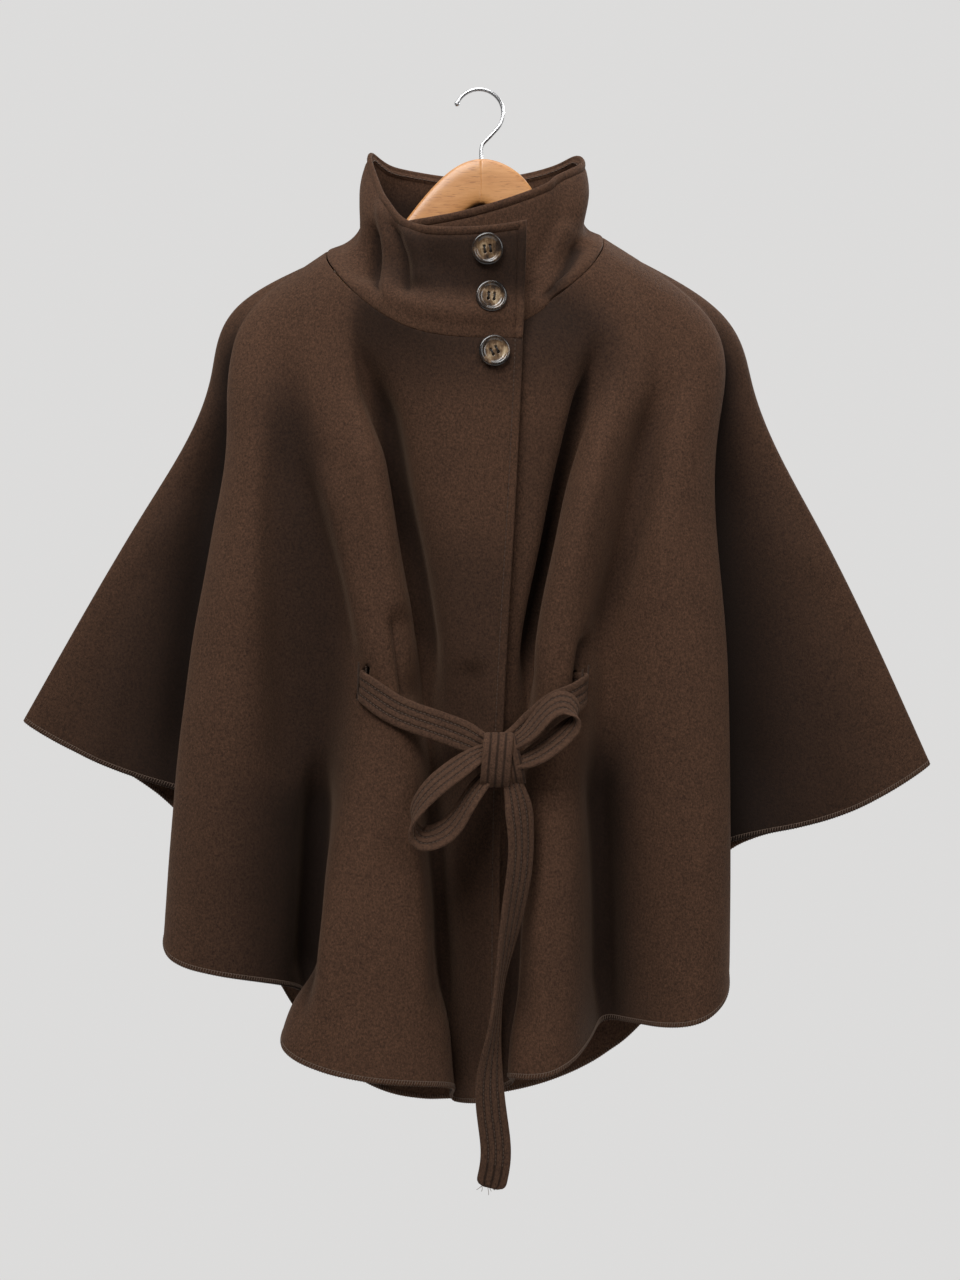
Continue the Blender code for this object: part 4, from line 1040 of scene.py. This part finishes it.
# loose threads at the end of the tail: short curls, seeded
draw = np.random.default_rng(83)
tailTip, tailSide = tailPath[-2], tailWide[-2]
curl = np.linspace(0, 1, 14)[:, None]
strays = []
for reach in (13, 9, 11, 7, 8, 10):
    start = tailTip + tailSide * draw.uniform(-9, 9) + np.array([0, draw.uniform(-1, 1), 1.5])
    way = np.array([draw.uniform(-0.9, 0.9), draw.uniform(-0.4, 0.3), -0.75])
    bend = np.array([draw.uniform(-5, 5), draw.uniform(-3, 3), draw.uniform(-1, 2)])
    strays.append(start + way * reach * curl + bend * curl ** 2)
strayRods = rodMesh(np.stack(strays), 0.22, 5, np.array([0.3, 1.0, 0.2]))
sewnPiece("tailLooseThreads", [strayRods], paleThread)
print("sewing made")

# buttons
buttonSizes = {
    "around": 72, "steps": 92, "holeAt": 2.6, "holeReach": 1.45, "holeDeep": 2.3,
    # radius and height of the turned profile, from under the centre over the rim to the top
    "profile": [(0.2, 0.0), (4.0, 0.1), (8.5, 0.4), (12.0, 1.3), (13.6, 2.3), (14.0, 3.1), (13.6, 4.1),
                (12.3, 4.6), (10.9, 4.3), (9.6, 3.4), (8.2, 3.05), (5.0, 3.0), (2.5, 3.0), (0.2, 3.0)],
    # name, node, on the collar or not, share of the lap, place up the collar or down the front,
    # lift, turn, seed
    "rows": [("buttonTop", "button_top", True, 0.48, 0.77, 0.25, 4, 0.6),
             ("buttonMiddle", "button_middle", True, 0.32, 0.30, 0.8, -6, 2.3),
             ("buttonBottom", "button_bottom", False, 0.32, 0.075, 3.0, 24, 4.1)],
}
b = buttonSizes
profile = smoothPath([(radius, height, 0.0) for radius, height in b["profile"]], b["steps"])
around = np.linspace(0, 2 * np.pi, b["around"], endpoint=False)
radius, height = profile[:, :1], profile[:, 1:2]
buttonX, buttonY = radius * np.cos(around), radius * np.sin(around)
holeNear = np.hypot(np.abs(buttonX) - b["holeAt"], np.abs(buttonY) - b["holeAt"])
onTop = np.arange(b["steps"])[:, None] > b["steps"] / 2
buttonZ = height - b["holeDeep"] * softStep((b["holeReach"] - holeNear) / 0.5) * onTop
buttonPoints = np.stack([buttonX, buttonY, buttonZ], -1).reshape(-1, 3)
buttonUv = np.stack(np.broadcast_arrays(radius / 14, around[None] / (2 * np.pi)), -1)
buttonFaces = [faces[:, ::-1] for faces in tubeFaces(*buttonX.shape)]
# two sewn bars between the holes, two strands each: height = a low arch over the middle
barShare = np.linspace(0, 1, 11)
barPaths = np.stack([np.stack([np.full(11, x), (barShare - 0.5) * 2 * b["holeAt"],
                               1.6 + 2.3 * np.sin(np.pi * barShare) ** 0.5], -1)
                     for x in (-3.0, -2.2, 2.2, 3.0)])
barPoints, barFaces = rodMesh(barPaths, 0.46, 6, np.array([1.0, 0.0, 0.0]))
for name, node, onCollar, lapShare, place, lift, spin, seed in b["rows"]:
    lapAt = lapShare * foldPlace[1]
    surface, step = (collarSurface, -0.04) if onCollar else (bodySurface, 0.01)
    nearby = np.meshgrid([lapAt - 4, lapAt, lapAt + 4], [place - step, place, place + step], indexing="ij")
    patch = surface(*nearby)
    across = patch[2, 1] - patch[0, 1]
    out = unitRows(np.cross(across, patch[1, 2] - patch[1, 0]))
    side = unitRows(across - out * (across @ out))
    up = np.cross(out, side)
    turnX, turnY = math.cos(math.radians(spin)), math.sin(math.radians(spin))
    axes = np.stack([side * turnX + up * turnY, up * turnX - side * turnY, out])
    origin = patch[1, 1] + out * lift
    horn = hornFinish(node + "_horn", seed)
    putPiece(name, buttonPoints @ axes + origin, buttonFaces, horn, buttonUv, node=node)
    putPiece(name + "Thread", barPoints @ axes + origin, barFaces, darkThread)
print("buttons made")

# hanger
hanger = {
    "thick": 11.0, "squareness": 3.6, "around": 56, "stations": 190, "seamX": 1.9, "seamDeep": 0.7,
    # outline x z over the top, then along the underside, both from the viewer's left
    "top": [(-222, -207), (-216, -200), (-205, -192.5), (-180, -181), (-160, -174), (-136, -167),
            (-112, -160), (-90, -146), (-66, -118), (-37, -84), (-18, -69.5), (2, -64), (24, -69),
            (41, -81), (60, -113), (74, -142), (90, -156), (108, -161), (136, -167), (160, -174),
            (176, -181), (201, -194.5), (212, -202), (218, -209)],
    "under": [(-226, -218), (-216, -228), (-120, -186), (-48, -143), (-18, -117.5), (2, -106),
              (20, -118.5), (50, -143), (120, -186), (212, -228), (222, -218)],
}
topLine = smoothPath([(x, 0.0, z) for x, z in hanger["top"]], 400)
underLine = smoothPath([(x, 0.0, z) for x, z in hanger["under"]], 400)
seamSteps = hanger["seamX"] + np.array([-2.0, -1.2, -0.7, -0.35, 0.0, 0.35, 0.7, 1.2, 2.0])
hangerX = np.linspace(topLine[0, 0], topLine[-1, 0], hanger["stations"])
hangerX = np.sort(np.concatenate([hangerX[np.abs(hangerX - hanger["seamX"]) > 2.2], seamSteps]))
topZ = np.interp(hangerX, topLine[:, 0], topLine[:, 2])
underZ = np.interp(hangerX, underLine[:, 0], underLine[:, 2])
endShare = np.clip(np.minimum(hangerX - hangerX[0], hangerX[-1] - hangerX) / 5.0, 0, 1)
endRound = 0.3 + 0.7 * np.sqrt(1 - (1 - endShare) ** 2)
# section = squared oval: half thickness and half height, thinner at the seam in the middle
ovalTurn = np.linspace(0, 2 * np.pi, hanger["around"], endpoint=False)
thickness, tallness = squaredOval(ovalTurn, 2 / hanger["squareness"])
seamCut = hanger["seamDeep"] * bell(hangerX - hanger["seamX"], 0.5)
halfThick = ((hanger["thick"] / 2 - seamCut) * endRound)[:, None]
halfTall = ((topZ - underZ) / 2 * endRound)[:, None]
middleZ = ((topZ + underZ) / 2)[:, None]
section = np.broadcast_arrays(hangerX[:, None], halfThick * thickness, middleZ + halfTall * tallness)
hangerPoints = np.stack(section, -1)
hangerFaces, grain = tubeFaces(*hangerPoints.shape[:2]), woodFinish("hanger_wood_grain")
putPiece("hangerBody", hangerPoints, hangerFaces, grain, node="hanger_wood")

hook = {"wire": 1.8, "bend": 22.5, "tipAngle": 163.0, "endAngle": -52.0, "foot": (2.0, -66.5)}
bendAngle = np.radians(np.linspace(hook["tipAngle"], hook["endAngle"], 60))
bendZ = -hook["bend"] - hook["wire"] + 3.6
hookArc = hook["bend"] * np.stack([np.cos(bendAngle), 0 * bendAngle, np.sin(bendAngle)], -1) + (0, 0, bendZ)
hookNeck = [(7.0, 0, -46.0), (3.2, 0, -50.5), (2.0, 0, -56.0), (hook["foot"][0], 0, hook["foot"][1])]
hookPath = smoothPath(np.concatenate([hookArc[:-2], hookNeck]), 170)
tipRun = runLength(hookPath, 0)
# ball tip: radius swells to a round end
hookRadius = hook["wire"] + 0.9 * bell(tipRun - 2.2, 2.0)
hookRadius = hookRadius * np.sqrt(np.clip(1 - (1 - np.clip((tipRun + 0.25) / 2.6, 0, 1)) ** 2, 0.02, 1))
hookPoints, hookFaces = rodMesh(hookPath[None], hookRadius[None], 18, np.array([0.0, 1.0, 0.0]))
putPiece("hangerHookWire", hookPoints, hookFaces, steelFinish("bright_wire"), node="hanger_hook")
print("hanger made")

# belt: the size of each cut as it lay flat before it was hung, printed
beltHeld = {
    "beltStrandRight": "stretched", "beltStrandLeft": "stretched", "beltBack": "hung",
    "beltLoopUpper": "folded", "beltLoopLower": "folded", "beltTail": "hung",
    "beltKnotWrap": "folded", "beltKnotTurn": "folded",
}
for label, held in beltHeld.items():
    print(label, "flat", *beltPieces[label]["flat"])

# stage, light and camera
studio = {
    "floorZ": -1.95, "floorHalf": 2.2, "floorTone": (0.62, 0.615, 0.61),
    "backTone": (0.72, 0.715, 0.71), "frontTone": (0.05, 0.049, 0.048), "worldStrength": 1.0,
    "lights": [  # name, place, aim, size, power
        ("keyLight", (-0.8, -2.1, 1.7), (0, 0, -0.45), 1.7, 83),
        ("fillLight", (1.7, -2.3, 0.6), (0, 0, -0.5), 1.4, 22),
        ("topLight", (0.1, -0.5, 2.0), (0, 0, -0.4), 1.4, 24),
        ("backLight", (1.9, 1.7, 1.2), (0, 0, -0.5), 1.0, 40),
    ],
    "cameraAt": (0.00094, -1.6, -0.5158), "frameHeight": 1.2032,
}


# plain paint: one tone, a little lighter in clouds
def plainFinish(name, tone):
    finish = Finish(name)
    cloud = finish.noise(finish.place(), 3.0, 2.0)
    lighter = tuple(min(1.0, value * 1.05) for value in tone)
    return finish.wear(Base_Color=finish.blend(cloud, tone, lighter), Roughness=0.75 + cloud * 0.1)


corner, floorZ = studio["floorHalf"] / mm, studio["floorZ"] / mm
corners = ((-corner, -corner), (corner, -corner), (corner, corner), (-corner, corner))
floorPoints = np.array([(x, y, floorZ) for x, y in corners])
floorPaint = plainFinish("pale_floor", studio["floorTone"])
meshObject("studioFloor", floorPoints, [np.array([[0, 1, 2, 3]])], floorPaint)

# pale room: light comes from the bright wall behind the cape, little from in front;
# the room itself looks pale all round
world = bpy.data.worlds.new("paleStudio")
world.use_nodes = True
room = Nodes(world.node_tree)
wayOut = room.node("SeparateXYZ", {}, {"Vector": room.node("TexCoord", {}, {}, "Generated")}, "Y")
behind = {"Value": wayOut, "From Min": -0.5, "From Max": 0.75}
behind = room.node("MapRange", {"interpolation_type": "SMOOTHSTEP"}, behind)
seen = behind.math("MAXIMUM", behind, room.node("LightPath", {}, {}, "Is Camera Ray"))
background = room.tree.nodes["Background"].inputs
plug(room.tree, background["Color"], room.blend(seen, studio["frontTone"], studio["backTone"]))
plug(room.tree, background["Strength"], studio["worldStrength"])
bpy.context.scene.world = world


# turns a lamp so that its -Z looks from its place to the target
def aimAt(thing, place, target):
    away = np.array(place, float) - np.array(target, float)
    flatRun = math.hypot(away[0], away[1])
    thing.location = place
    thing.rotation_euler = (math.atan2(flatRun, away[2]), 0.0, math.atan2(away[0], -away[1]))


for lightName, place, target, size, power in studio["lights"]:
    lamp = bpy.data.lights.new(lightName, "AREA")
    lamp.size = size
    lamp.energy = power
    lampObject = bpy.data.objects.new(lightName, lamp)
    bpy.context.scene.collection.objects.link(lampObject)
    aimAt(lampObject, place, target)

cameraData = bpy.data.cameras.new("photoCamera")
cameraData.sensor_fit = "VERTICAL"
cameraData.sensor_height = 36.0
cameraData.lens = cameraData.sensor_height * -studio["cameraAt"][1] / studio["frameHeight"]
camera = bpy.data.objects.new("photoCamera", cameraData)
camera.location = studio["cameraAt"]
camera.rotation_euler = (math.pi / 2, 0.0, 0.0)
bpy.context.scene.collection.objects.link(camera)
bpy.context.scene.camera = camera
bpy.context.scene.view_settings.view_transform = "Standard"
print("stage set")
